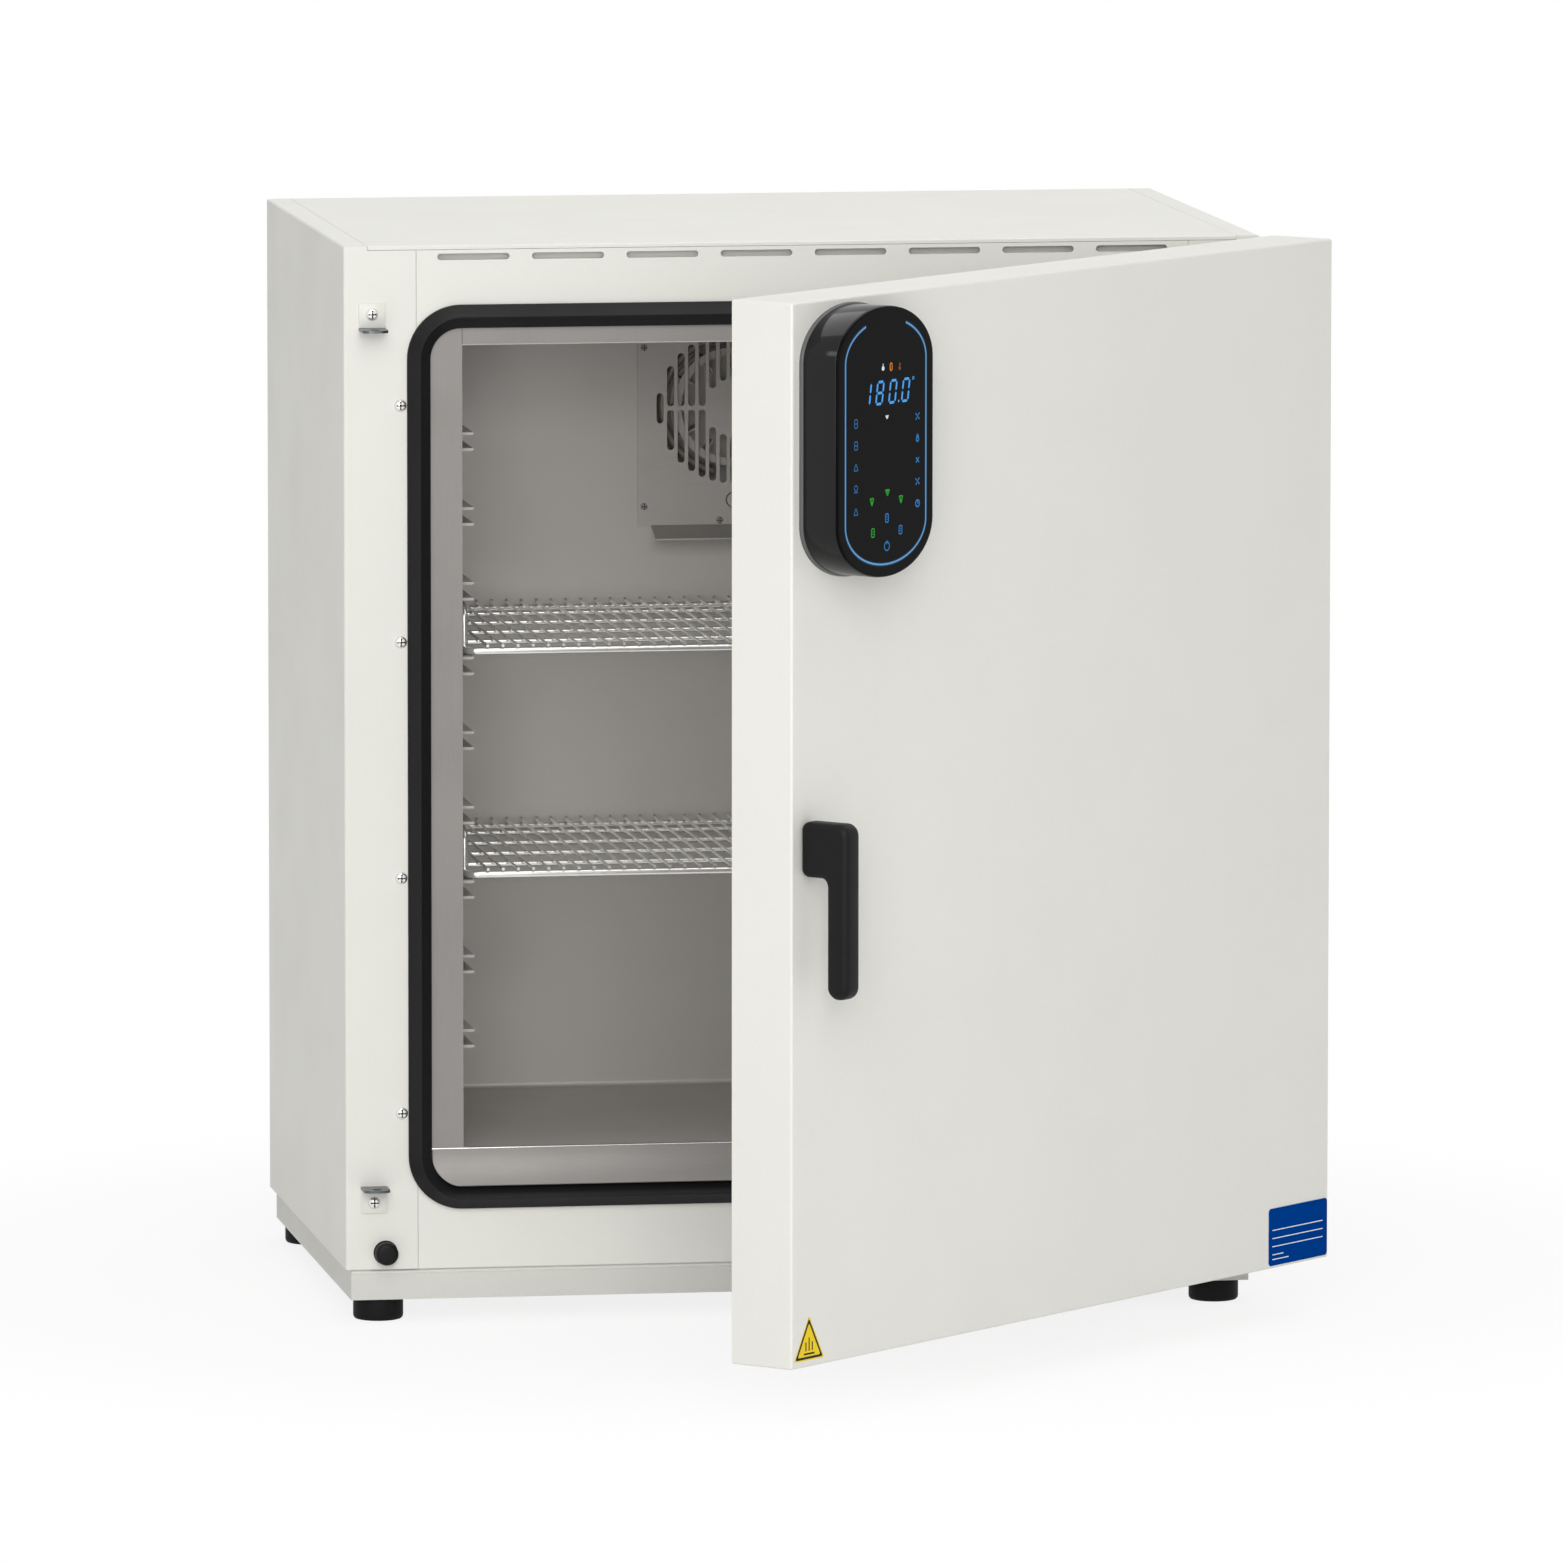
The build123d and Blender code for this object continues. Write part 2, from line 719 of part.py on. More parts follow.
def shelf_grid(pair):
    """Close-set wires from front to back, welded to a few cross wires beneath."""
    z = shelf_level(pair)
    wire_z = z + rod_radius + grid_wire_radius
    cross_z = z + rod_radius - cross_wire_radius + weld_depth
    y = (front + shelf_front - grid_overhang, front + shelf_back + grid_overhang)
    wires = []
    for number in range(grid_count):
        x = (number - (grid_count - 1) / 2) * grid_pitch
        path = Polyline((x, y[0], wire_z), (x, y[1] - grid_tail, wire_z), (x, y[1], wire_z + grid_tail))
        profile = Plane(origin=path @ 0, z_dir=path % 0) * RegularPolygon(grid_wire_radius, 8)
        wires.append(sweep(profile, path=path, transition=Transition.RIGHT))
    end = shelf_x - rod_radius
    for number in range(cross_count):
        cross_y = front + (shelf_front + shelf_back) / 2 + (number - (cross_count - 1) / 2) * cross_pitch
        wires.append(bar((-end, cross_y, cross_z), (end, cross_y, cross_z), cross_wire_radius))
    return wires[0].fuse(*wires[1:])


def fan_cover():
    """Slotted cover in front of the fan, with a bent lip along its foot."""
    plate = Pos(0, (cover_low + cover_high) / 2) * Rectangle(2 * cover_x, cover_high - cover_low)
    columns = int(grille_radius // grille_pitch)
    for column in range(-columns, columns + 1):
        x = column * grille_pitch
        if abs(column) == columns:
            plate -= Pos(x, fan_z) * SlotOverall(grille_end_slot, grille_slot, rotation=90)
            continue
        tip = math.sqrt(grille_radius ** 2 - x ** 2)
        root = grille_web / 2
        if abs(x) < grille_hub:
            root = max(root, math.sqrt(grille_hub ** 2 - x ** 2))
        for side in (-1, 1):
            plate -= Pos(x, fan_z + side * (tip + root) / 2) * SlotOverall(
                tip - root, grille_slot, rotation=90)
    plate -= Pos(0, probe_z) * Circle(probe_hole)
    for x, z in cover_screws:
        plate -= Pos(x, z) * Circle(cover_screw_radius + clear_fit)
    face = wall_front - sheet
    edge = face - cover_lip_reach
    lip = across([(face, cover_low), (face, cover_low + sheet),
                  (edge, cover_low + sheet - cover_lip_drop), (edge, cover_low - cover_lip_drop)],
                 -cover_lip_x, cover_lip_x)
    return facing(wall_front, plate, sheet) + lip


def fan_housing():
    """Box behind the back wall in which the fan and the heater sit."""
    rear = wall_rear + housing_depth
    outer = span((-housing_x, housing_x), (wall_rear, rear), (housing_low, housing_high))
    inner = span((-housing_x + sheet, housing_x - sheet), (wall_rear - sheet, rear - sheet),
                 (housing_low + sheet, housing_high - sheet))
    holes = Pos(0, fan_z) * Circle(2 * shaft_radius)
    holes += Pos(0, probe_z) * Circle(probe_radius + running_fit)
    for x, z in heater_ends():
        holes += Pos(x, z) * Circle(heater_tube + clear_fit)
    return outer - inner - facing(rear + sheet, holes, 3 * sheet)


def fan_wheel():
    """Radial wheel: back disc, hub, blades and a front ring."""
    y = front + wheel_front
    hub = Pos(0, fan_z) * (Circle(wheel_hub) - Circle(shaft_radius + running_fit))
    disc = Pos(0, fan_z) * (Circle(wheel_radius) - Circle(shaft_radius + running_fit))
    ring = Pos(0, fan_z) * (Circle(wheel_radius) - Circle(wheel_radius - wheel_ring))
    wheel = facing(y + wheel_depth, disc, wheel_sheet)
    wheel += facing(y + wheel_depth, hub, wheel_depth - wheel_hub_step)
    wheel += facing(y + wheel_sheet, ring, wheel_sheet)
    blade_end = wheel_radius - wheel_sheet / 3
    blade = Pos(0, (blade_end + wheel_blade_root) / 2) * Rectangle(sheet, blade_end - wheel_blade_root)
    for number in range(wheel_blades):
        turned = Pos(0, fan_z) * Rot(0, 0, 360 * number / wheel_blades) * blade
        wheel += facing(y + wheel_depth, turned, wheel_depth)
    return wheel


def fan_shaft():
    """Plain shaft from the motor through the housing to the wheel."""
    y = front + wheel_front
    return bar((0, y + 2, fan_z), (0, front + motor_front + motor_length / 2, fan_z), shaft_radius)


def motor_bracket():
    """Square plate on four posts that stand on the fan housing."""
    y = front + motor_front
    outline = Pos(0, fan_z) * (RectangleRounded(bracket_size, bracket_size, 2 * fold_radius)
                               - Circle(bracket_bore))
    bracket = facing(y, outline, bracket_sheet)
    for x in (-bracket_post, bracket_post):
        for z in (fan_z - bracket_post, fan_z + bracket_post):
            bracket += bar((x, wall_rear + housing_depth, z), (x, y, z), bracket_post_radius)
    return bracket


def motor():
    """Round motor with a bore for the shaft and shallow end bells."""
    y = front + motor_front
    body = bar((0, y, fan_z), (0, y + motor_length, fan_z), motor_radius)
    body = fillet(edges_at(body, (0, y + motor_length, fan_z)), motor_edge)
    bore = shaft_radius + running_fit
    return body - bar((0, y - 1, fan_z), (0, y + motor_length / 2 + 1, fan_z), bore)


def heater_ends():
    """Places where the heater's two legs leave the ring, as x and z."""
    turn = math.radians(heater_gap_angle)
    x, z = heater_radius * math.sin(turn), fan_z - heater_radius * math.cos(turn)
    return [(-x, z), (x, z)]


def heater():
    """Open ring of heating tube round the fan, with two legs through a block."""
    y = front + heater_plane
    ring = revolve(Plane.XZ * (Pos(heater_radius, 0) * Circle(heater_tube)), Axis.Z,
                   360 - 2 * heater_gap_angle)
    ring = Rot(0, 0, -90 + heater_gap_angle) * ring
    ring = Plane((0, y, fan_z), x_dir=(1, 0, 0), z_dir=(0, -1, 0)) * ring
    rear = wall_rear + housing_depth
    for x, z in heater_ends():
        ring += bar((x, y, z), (x, rear + heater_leg, z), heater_tube)
        ring += Pos(x, y, z) * Sphere(heater_tube)
    z = heater_ends()[0][1]
    block_x, block_y, block_z = heater_block[0] / 2, heater_block[1], heater_block[2] / 2
    return ring + span((-block_x, block_x), (rear, rear + block_y), (z - block_z, z + block_z))


def probe():
    """Temperature probe with a round head in the cover's hole and a collar behind the housing."""
    rear = wall_rear + housing_depth
    tip = wall_front - probe_head_proud
    body = bar((0, tip, probe_z), (0, rear + probe_tail, probe_z), probe_radius)
    body += bar((0, tip, probe_z), (0, wall_front + probe_head_sunk, probe_z), probe_head)
    return body + bar((0, rear, probe_z), (0, rear + probe_collar, probe_z), probe_head)


def keeper(seat, end, screw_z):
    """Bent striker on the front: a leg with one screw and a tongue with the pin's hole."""
    x = (keeper_x - keeper_width / 2, keeper_x + keeper_width / 2)
    low, high = min(seat, end), max(seat, end)
    leg = span(x, (front - keeper_thickness, front), (low, high))
    toward = 1 if end > seat else -1
    tongue_z = sorted((seat, seat + toward * keeper_thickness))
    tongue = span(x, (front - keeper_reach, front), tongue_z)
    tongue = fillet(edges_at(tongue, (x[0], front - keeper_reach, sum(tongue_z) / 2),
                             (x[1], front - keeper_reach, sum(tongue_z) / 2)), 3 * fold_radius)
    shape = leg + tongue
    shape -= bar((keeper_x, lock_y, low - 1), (keeper_x, lock_y, high + 1), keeper_hole)
    return shape - screw_hole((keeper_x, front - keeper_thickness, screw_z), (0, -1, 0))


def switch_body():
    """Sleeve behind the front sheet in which the plunger slides."""
    y = front + sheet
    body = bar((plunger_x, y, plunger_z), (plunger_x, y + switch_body_length, plunger_z), switch_body_radius)
    reach = plunger_travel + switch_room
    body -= bar((plunger_x, y - 1, plunger_z), (plunger_x, y + reach, plunger_z),
                plunger_collar + running_fit)
    bore_end = y + switch_body_length - switch_end_wall
    return body - bar((plunger_x, y - 1, plunger_z), (plunger_x, bore_end, plunger_z),
                      plunger_radius + running_fit)


def switch_plunger():
    """Rounded button with a collar that stops behind the front sheet."""
    tip = front - plunger_proud
    body = bar((plunger_x, tip, plunger_z), (plunger_x, front + plunger_tail, plunger_z), plunger_radius)
    body = fillet(edges_at(body, (plunger_x, tip, plunger_z)), plunger_edge)
    y = front + sheet + clear_fit
    return body + bar((plunger_x, y, plunger_z), (plunger_x, y + plunger_collar_length, plunger_z),
                      plunger_collar)


def door_shell():
    """Outer door pan with folded edges and holes for the handle and the pod's cable."""
    outer = span((-half_width, half_width), (door_outer, door_inner), (door_low, door_high))
    inner = span((-half_width + sheet, half_width - sheet), (door_outer + sheet, door_inner + sheet),
                 (door_low + sheet, door_high - sheet))
    outer = fillet(outer.faces().sort_by(Axis.Y)[0].edges() + outer.edges().filter_by(Axis.Y), fold_radius)
    inner = fillet(inner.faces().sort_by(Axis.Y)[0].edges() + inner.edges().filter_by(Axis.Y),
                   fold_radius - sheet)
    shell = outer - inner
    shell -= bar((handle_x, door_outer - 1, handle_z), (handle_x, door_outer + 3, handle_z),
                 spindle_radius + running_fit)
    shell -= bar((pod_x, door_outer - 1, pod_z), (pod_x, door_outer + 3, pod_z), cable_radius)
    for seat in hinge_screw_seats(leaf_screw_y):
        shell -= screw_hole(seat, (1, 0, 0))
    return shell


def door_inner_panel():
    """Inner door sheet inside the pan's rim, with slots for the keepers' tongues."""
    gap = sheet + seam
    plate = Pos(0, (door_low + door_high) / 2) * Rectangle(
        casing_width - 2 * gap, door_high - door_low - 2 * gap)
    for z in (keeper_upper_z + keeper_thickness / 2, keeper_lower_z - keeper_thickness / 2):
        plate -= Pos(keeper_x, z) * Rectangle(2 * slot_x, 2 * slot_z)
    return facing(door_inner, plate, sheet)


def door_plug():
    """Raised stainless pan on the inner door sheet, inside the gasket's mouth."""
    outline = Pos(0, (plug_low + plug_high) / 2) * RectangleRounded(
        2 * plug_x, plug_high - plug_low, plug_corner)
    cavity = Pos(0, (plug_low + plug_high) / 2) * RectangleRounded(
        2 * (plug_x - sheet), plug_high - plug_low - 2 * sheet, plug_corner - sheet)
    pan = facing(door_inner + plug_height, outline, plug_height)
    pan = fillet(pan.faces().sort_by(Axis.Y)[-1].edges(), fold_radius)
    return pan - facing(door_inner + plug_height - sheet, cavity, plug_height)


def door_insulation():
    """Insulation in the door, short of the channel for the lock."""
    return span((door_insulation_left, door_insulation_right), (door_outer + sheet, door_inner - sheet),
                (door_low + door_insulation_end, door_high - door_insulation_end))


def hinge_half_part(centre, plate_y, level, toward):
    """One half of a hinge: flat plate, arm and knuckle at its own level."""
    x = half_width
    plate = span((x, x + hinge_plate), plate_y, (centre - hinge_half, centre + hinge_half))
    inner_x = x + hinge_plate
    arm = upright([(x, toward[0]), (inner_x, toward[0]), (pivot_x - 6.5, pivot_y - 4.0 * toward[2]),
                   (pivot_x + 5.5, pivot_y + 5.5 * toward[2]), (inner_x, toward[1]), (x, toward[1])],
                  *level)
    knuckle = bar((pivot_x, pivot_y, level[0]), (pivot_x, pivot_y, level[1]), knuckle_radius)
    bore = bar((pivot_x, pivot_y, level[0] - 1), (pivot_x, pivot_y, level[1] + 1),
               hinge_pin_radius + running_fit)
    return plate + arm + knuckle - bore


def hinge_bracket(centre):
    """Casing half of a hinge, with the lower knuckle."""
    y = (front + bracket_plate_front, front + bracket_plate_back)
    shape = hinge_half_part(centre, y, (centre - hinge_half, centre - knuckle_gap), (y[0], y[0] + 14, 1))
    for seat in hinge_screw_seats(bracket_screw_y):
        shape -= screw_hole(seat, (1, 0, 0))
    return shape


def hinge_leaf(centre):
    """Door half of a hinge, with the upper knuckle."""
    y = (front - leaf_plate_front, front - leaf_plate_back)
    shape = hinge_half_part(centre, y, (centre + knuckle_gap, centre + hinge_half), (y[1], y[1] - 14, -1))
    for seat in hinge_screw_seats(leaf_screw_y):
        shape -= screw_hole(seat, (1, 0, 0))
    return shape


def hinge_pins():
    """One headed pin through each hinge."""
    pins = []
    for centre in hinge_centres:
        pin = bar((pivot_x, pivot_y, centre - hinge_half), (pivot_x, pivot_y, centre + hinge_half + 1),
                  hinge_pin_radius)
        pins.append(pin + bar((pivot_x, pivot_y, centre + hinge_half + clear_fit),
                              (pivot_x, pivot_y, centre + hinge_half + 2), hinge_pin_radius + 2))
    return pins


def lever():
    """Handle lever: a neck on the door and a long grip that hangs down."""
    y = door_outer
    points = [(y - handle_face_gap, handle_neck_low), (y - handle_neck, handle_neck_low),
              (y - handle_neck, handle_low), (y - handle_neck - handle_grip, handle_low),
              (y - handle_neck - handle_grip, handle_top), (y - handle_face_gap, handle_top)]
    x = (handle_x - handle_width / 2, handle_x + handle_width / 2)
    shape = across(points, *x)
    shape = fillet(edges_at(shape, (handle_x, points[4][0], handle_top)), 6.5)
    shape = fillet(edges_at(shape, (handle_x, y - handle_neck, handle_neck_low)), 6.0)
    half = handle_width / 2
    straight = handle_top - handle_low - half
    outline = Pos(handle_x, handle_top - straight / 2) * Rectangle(handle_width, straight)
    outline += Pos(handle_x, handle_low + half) * Circle(half)
    shape &= facing(y, outline, handle_neck + handle_grip + 1)
    bore = bar((handle_x, y + 1, handle_z), (handle_x, y - handle_neck + 2, handle_z), spindle_radius)
    return shape - bore


def spindle():
    """Spindle from the lever to the pinion."""
    return bar((handle_x, door_outer - handle_neck + 2.5, handle_z), (handle_x, front - 14, handle_z),
               spindle_radius - 0.02)


def tooth_half_angle(radius):
    """Half of a pinion tooth's angle at a radius, from the involute of the pressure angle."""
    pitch_radius = gear_module * gear_teeth / 2
    base_radius = pitch_radius * math.cos(pressure_angle)
    half_tooth = (math.pi * gear_module / 2 - gear_backlash) / 2
    local = math.acos(min(1.0, base_radius / radius))
    involute = math.tan(pressure_angle) - pressure_angle - math.tan(local) + local
    return half_tooth / pitch_radius + involute


def pinion():
    """Sixteen-tooth pinion with involute flanks, bored for the spindle."""
    pitch_radius = gear_module * gear_teeth / 2
    base_radius = pitch_radius * math.cos(pressure_angle)
    tip = pitch_radius + gear_addendum
    flank = [(pitch_radius - gear_dedendum, base_radius), (base_radius, base_radius),
             (pitch_radius, pitch_radius), ((pitch_radius + tip) / 2, (pitch_radius + tip) / 2), (tip, tip)]
    points = []
    for tooth in range(gear_teeth):
        middle = 2 * math.pi * tooth / gear_teeth
        for radius, station in flank:
            angle = middle - tooth_half_angle(station)
            points.append((radius * math.cos(angle), radius * math.sin(angle)))
        for radius, station in reversed(flank):
            angle = middle + tooth_half_angle(station)
            points.append((radius * math.cos(angle), radius * math.sin(angle)))
    outline = make_face(Polyline(*points, close=True)) - Circle(spindle_radius)
    return facing(lock_y + lock_half_depth, Pos(handle_x, handle_z) * outline, 2 * lock_half_depth)


def rack(side, block_z, end_z):
    """Toothed bar beside the pinion, from its free end to the block that joins it to a rod."""
    pitch_radius = gear_module * gear_teeth / 2
    half_tooth = (math.pi * gear_module / 2 - gear_backlash) / 2
    tip_half = half_tooth - rack_addendum * math.tan(pressure_angle)
    root_half = half_tooth + rack_dedendum * math.tan(pressure_angle)
    tip_x, root_x = pitch_radius - rack_addendum, pitch_radius + rack_dedendum
    first = end_z[0]
    points = [(root_x, end_z[1])]
    for tooth in range(rack_teeth):
        z = handle_z + math.pi * gear_module * (first + tooth + 0.5)
        points += [(root_x, z - root_half), (tip_x, z - tip_half), (tip_x, z + tip_half),
                   (root_x, z + root_half)]
    points += [(root_x, block_z), (root_x + rack_thickness, block_z), (root_x + rack_thickness, end_z[1])]
    points = [(handle_x + side * x, z) for x, z in points]
    return facing(lock_y + lock_half_depth, make_face(Polyline(*points, close=True)), 2 * lock_half_depth)


def lock_rod(side):
    """Rack, joining block, rod and pin that lock one end of the door, as one piece."""
    y = (lock_y - lock_half_depth, lock_y + lock_half_depth)
    pitch_radius = gear_module * gear_teeth / 2
    outer_x = handle_x + side * (pitch_radius + rack_dedendum + rack_thickness)
    block = sorted((outer_x, lock_rod_x - side * 2.0))
    if side > 0:
        shape = rack(side, handle_z + 19, (-5, handle_z - 18))
        shape += span(block, y, (handle_z + 11, handle_z + 19))
        end = keeper_upper_z - lock_tip_gap
        start = handle_z + 19
    else:
        shape = rack(side, handle_z + 18, (-2, handle_z - 19))
        shape += span(block, y, (handle_z - 19, handle_z - 11))
        end = keeper_lower_z + lock_tip_gap
        start = handle_z - 19
    shoulder = end - side * lock_pin_length
    shape += bar((lock_rod_x, lock_y, start), (lock_rod_x, lock_y, shoulder), lock_rod_radius)
    return shape + bar((lock_rod_x, lock_y, shoulder), (lock_rod_x, lock_y, end), lock_pin_radius)


def lock_case():
    """Channel over the racks, open at both ends and fixed to the inner door sheet."""
    z = (handle_z - lock_case_half, handle_z + lock_case_half)
    y = (lock_case_front, door_inner - sheet)
    case = span(lock_case_x, y, z)
    case -= span((lock_case_x[0] + sheet, lock_case_x[1] - sheet), (y[0] + sheet, y[1] + sheet),
                 (z[0] - sheet, z[1] + sheet))
    return case - bar((handle_x, y[0] - 1, handle_z), (handle_x, y[0] + 3, handle_z),
                      spindle_radius + clear_fit)


def rod_guides():
    """Blocks on the inner door sheet in which the lock rods slide."""
    guides = []
    for offset in rod_guide_offsets:
        z = handle_z + offset
        block = span((lock_rod_x - rod_guide_half_width, lock_rod_x + rod_guide_half_width),
                     (lock_case_front, door_inner - sheet), (z - 4, z + 4))
        guides.append(block - bar((lock_rod_x, lock_y, z - 5), (lock_rod_x, lock_y, z + 5),
                                  lock_rod_radius + running_fit))
    return guides


def pill(grow=0.0):
    """Outline of the pod: straight sides and half-elliptical ends."""
    half_straight = pod_height / 2 - pod_end
    end = Ellipse(pod_width / 2 + grow, pod_end + grow)
    outline = Rectangle(pod_width + 2 * grow, 2 * half_straight)
    outline += Pos(0, half_straight) * end
    outline += Pos(0, -half_straight) * end
    return Pos(pod_x, pod_z) * outline


def pod_base_ring():
    """Flat ring between the door's face and the pod."""
    return facing(door_outer, pill(pod_base_rim) - pill(-3 * pod_wall), pod_base)


def pod_housing():
    """Hollow pod body, open at the front."""
    body = facing(door_outer - pod_base, pill(), pod_depth - pod_base - pod_glass)
    body -= facing(door_outer - pod_base - pod_wall, pill(-pod_wall), pod_depth)
    return body - bar((pod_x, door_outer, pod_z), (pod_x, door_outer - 8, pod_z), cable_radius)


def pod_glass_plate():
    """Front glass over the whole pod, with a rounded edge."""
    glass = facing(door_outer - pod_depth + pod_glass, pill(), pod_glass)
    return fillet(glass.faces().sort_by(Axis.Y)[0].edges(), pod_glass * 0.7)


def pod_board():
    """Control board on four posts, with the display module on it."""
    y = door_outer - pod_board_level
    board = facing(y, pill(-3 * pod_wall), board_thickness)
    for x in (-board_post_x, board_post_x):
        for z in (-board_post_z, board_post_z):
            board += bar((pod_x + x, door_outer - pod_base - pod_wall, pod_z + z),
                         (pod_x + x, y, pod_z + z), board_post)
    module = Pos(pod_x, pod_z + module_lift) * Rectangle(*module_size)
    return board + facing(y - board_thickness, module, module_height)


def info_plate():
    """Thin plate in the lower corner of the door's face."""
    right = half_width - plate_margin
    low = door_low + plate_margin
    outline = Pos((plate_left + right) / 2, (low + plate_high) / 2) * RectangleRounded(
        right - plate_left, plate_high - low, 2.0)
    return facing(door_outer, outline, plate_thickness)


def sectors(turned):
    """Two opposite quarter openings, drawn upright or turned by a quarter."""
    ring = Circle(exhaust_sector_outer) - Circle(exhaust_sector_inner)
    reach = 2 * exhaust_sector_outer
    x = reach * math.sin(math.radians(exhaust_sector_half))
    z = reach * math.cos(math.radians(exhaust_sector_half))
    wedges = make_face(Polyline((0, 0), (-x, z), (x, z), close=True))
    wedges += make_face(Polyline((0, 0), (-x, -z), (x, -z), close=True))
    return Rot(0, 0, 90 if turned else 0) * (ring & wedges)


def exhaust_pipe():
    """Duct with a square flange in the chamber and a wider stub at the rear, closed by a slotted plate."""
    start = wall_front - sheet
    end = back + exhaust_reach
    stub = back + 2 * sheet + exhaust_stub_gap
    outer = bar((exhaust_x, start, exhaust_z), (exhaust_x, end, exhaust_z), exhaust_duct_radius)
    outer += bar((exhaust_x, stub, exhaust_z), (exhaust_x, end, exhaust_z), exhaust_radius)
    outer += facing(wall_front, duct_plate_outline(), sheet)
    inner = bar((exhaust_x, start - 1, exhaust_z), (exhaust_x, end - exhaust_wall, exhaust_z),
                exhaust_duct_radius - exhaust_wall)
    holes = sectors(False) + Circle(shaft_radius + running_fit)
    return outer - inner - facing(end + 1, Pos(exhaust_x, exhaust_z) * holes, 2 * exhaust_wall)


def damper():
    """Turning plate on the pipe's end, with a pin, a thumb ridge and two openings."""
    end = back + exhaust_reach
    face = Circle(damper_radius) - sectors(True)
    y = end + 2 * running_fit
    plate = facing(y + exhaust_wall, Pos(exhaust_x, exhaust_z) * face, exhaust_wall)
    pin_end = end - damper_pin_length
    plate += bar((exhaust_x, pin_end, exhaust_z), (exhaust_x, y + exhaust_wall, exhaust_z), shaft_radius)
    plate += bar((exhaust_x, pin_end, exhaust_z),
                 (exhaust_x, end - exhaust_wall - 2 * running_fit, exhaust_z), damper_pin_head)
    half_x, half_z = damper_ridge[0] / 2, damper_ridge[1] / 2
    ridge = span((exhaust_x - half_x, exhaust_x + half_x), (y, y + exhaust_wall + damper_ridge_height),
                 (exhaust_z - half_z, exhaust_z + half_z))
    return plate + fillet(ridge.edges().filter_by(Axis.Y), 2.0)


def power_inlet():
    """Mains socket with a flange on its plate and three flat pins in its recess."""
    y = back + 2 * sheet
    flange = RectangleRounded(inlet_body[0] + inlet_flange_step[0], inlet_body[1] + inlet_flange_step[1],
                              inlet_corner)
    face = y + inlet_flange_thickness
    body = facing(face, Pos(inlet_x, inlet_z) * flange, inlet_flange_thickness)
    body += facing(y, Pos(inlet_x, inlet_z) * Rectangle(*inlet_body), inlet_depth)
    floor = face - inlet_recess_depth
    recess = Pos(inlet_x, inlet_z) * RectangleRounded(*inlet_recess, inlet_corner)
    body -= facing(face + 1, recess, face + 1 - floor)
    for x, z in inlet_pins:
        body += facing(floor + inlet_pin_length, Pos(inlet_x + x, inlet_z + z) * Rectangle(*inlet_pin_size),
                       inlet_pin_length + 1)
    return body


def power_board():
    """Power board on four posts inside the rear panel, with its larger components."""
    y = back - board_standoff
    half_x, half_z = board_half
    board = span((board_x - half_x, board_x + half_x), (y - board_thickness, y),
                 (board_z - half_z, board_z + half_z))
    for x in (board_margin - half_x, half_x - board_margin):
        for z in (board_margin - half_z, half_z - board_margin):
            board += bar((board_x + x, y, board_z + z), (board_x + x, back, board_z + z), board_post)
    front_y = y - board_thickness
    for x, z, height in ((transformer_x, transformer_z, transformer_height),
                         (relay_x, relay_z, relay_height), (terminal_x, terminal_z, terminal_height)):
        board += span((board_x + x[0], board_x + x[1]), (front_y - height, front_y),
                      (board_z + z[0], board_z + z[1]))
    return board


